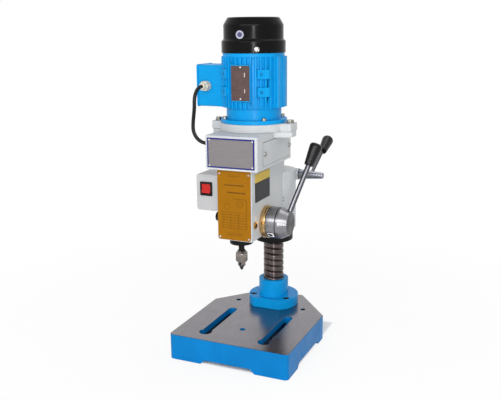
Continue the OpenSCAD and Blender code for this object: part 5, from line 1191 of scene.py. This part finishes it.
def curved_patch(name, axis_at, axis, radius, facing, place, size, thickness, square, sunk=0.3, sides=48):
    """A thin patch on a cylinder: its middle is at a distance along the axis, on the side that it faces."""
    along = Vector(axis)
    front = Vector(facing).normalized()
    across = along.cross(front)
    width, height = size
    shape = bmesh.new()
    rows = []
    for lift, share in ((-sunk, 1.0), (thickness, 1.0), (thickness, PATCH_TOP)):
        ring = []
        for k in range(sides):
            t = 2 * math.pi * (k + 0.5) / sides
            x, y = math.cos(t), math.sin(t)
            if square:
                far = max(abs(x), abs(y))
                x, y = x / far, y / far
            a = share * width / 2 * x / radius
            level = Vector(axis_at) + along * (place + share * height / 2 * y)
            out = front * math.cos(a) + across * math.sin(a)
            ring.append(shape.verts.new((level + out * (radius + lift)) * MM))
        rows.append(ring)
    bridge(shape, rows)
    bmesh.ops.recalc_face_normals(shape, faces=shape.faces)
    return to_mesh(shape, name)


STICKER_TURN = math.radians(-92.5)
STICKER_WAY = (math.cos(STICKER_TURN), math.sin(STICKER_TURN), 0)
STICKER_AT = (MOTOR, UP, 57.3, STICKER_WAY, 624.0)
DIAL_SCREW_AT = (FEED, RIGHT, DIAL_R, (0, -0.76, -0.65), 56.4)
PATCHES = [
    # piece, finish, body, slot, where, size, thickness, square
    ("cowl_sticker", "label_grey", "head", "black_cover", STICKER_AT, (16.0, 15.0), 0.15, False),
    ("sticker_middle", "label_blue", "head", "black_cover", STICKER_AT, (9.4, 8.8), 0.3, False),
    ("dial_flat", "flat_pale", "dial", "turned_aluminium", DIAL_SCREW_AT, (11.0, 12.5), 0.12, True),
    ("dial_screw", "hole_dark", "dial", "turned_aluminium", DIAL_SCREW_AT, (6.6, 6.4), 0.3, False),
]
for piece_name, finish, body, slot, where, *form in PATCHES:
    add(piece_name, curved_patch(piece_name, *where, *form), finish, body)

# Light, floor and background; the glow's distances and the floor are in metres

UNSEEN_STRENGTH = 0.55
FLOOR_HALF = 6.0
GLOW_FROM, GLOW_TO, NEAR_GLOW = 0.35, 0.9, 0.86
UNDER_X, UNDER_Y, UNDER_SOFT = 116.0, 141.0, 6.0

world = bpy.data.worlds.new("studio")
scene.world = world
world.use_nodes = True
sky = world.node_tree
background = sky.nodes["Background"]
background.inputs["Color"].default_value = (1.0, 1.0, 1.0, 1.0)
strength = blend_values(sky, seen_directly(sky), UNSEEN_STRENGTH, 1.0)
sky.links.new(strength, background.inputs["Strength"])

floor_shape = bmesh.new()
bmesh.ops.create_grid(floor_shape, x_segments=1, y_segments=1, size=FLOOR_HALF)
floor = new_object("studio_floor", to_mesh(floor_shape, "studio_floor"))
floor_material = bpy.data.materials.new("pale_floor")
floor_material.use_nodes = True
pale = floor_material.node_tree
diffuse = pale.nodes["Principled BSDF"]
diffuse.inputs["Base Color"].default_value = (0.9, 0.9, 0.9, 1.0)
diffuse.inputs["Roughness"].default_value = 0.9
diffuse.inputs["Specular IOR Level"].default_value = 0.0
glow = put(pale, "ShaderNodeEmission", {"Strength": 1.0})
place = object_axes(pale)
away = vector_length(pale, "LENGTH", object_place(pale))
open_floor = ramp_value(pale, away, GLOW_FROM, GLOW_TO, NEAR_GLOW, 1.0)
under = product(pale, fall_at(pale, calc(pale, "ABSOLUTE", place["X"]), UNDER_X, UNDER_SOFT),
                fall_at(pale, calc(pale, "ABSOLUTE", place["Y"]), UNDER_Y, UNDER_SOFT))
share = product(pale, open_floor, calc(pale, "SUBTRACT", 1.0, under), seen_directly(pale))
both = put(pale, "ShaderNodeMixShader", {0: share, 1: diffuse.outputs[0], 2: glow.outputs[0]})
pale.links.new(both.outputs[0], pale.nodes["Material Output"].inputs["Surface"])
floor.data.materials.append(floor_material)


LIT_MIDDLE = Vector((0.0, 0.0, 0.35))


def soft_box(name, place, width, height, power):
    """A lamp that looks at the middle of the machine; sizes in metres, power in watts."""
    light = bpy.data.lights.new(name, "AREA")
    light.shape = "RECTANGLE"
    light.size, light.size_y = width, height
    light.energy = power
    lamp = new_object(name, light)
    lamp.location = place
    lamp.rotation_euler = (Vector(place) - LIT_MIDDLE).to_track_quat("Z", "Y").to_euler()


soft_box("key_light", (-0.1, -2.25, 1.35), 2.0, 0.8, 25.0)
soft_box("side_light", (1.15, -1.65, 1.25), 0.7, 0.7, 9.0)
soft_box("strip_light", (0.9, -2.0, 0.4), 0.25, 0.8, 14.0)
soft_box("top_light", (0.2, 0.5, 2.1), 1.0, 1.0, 8.0)

scene.view_settings.view_transform = "Standard"
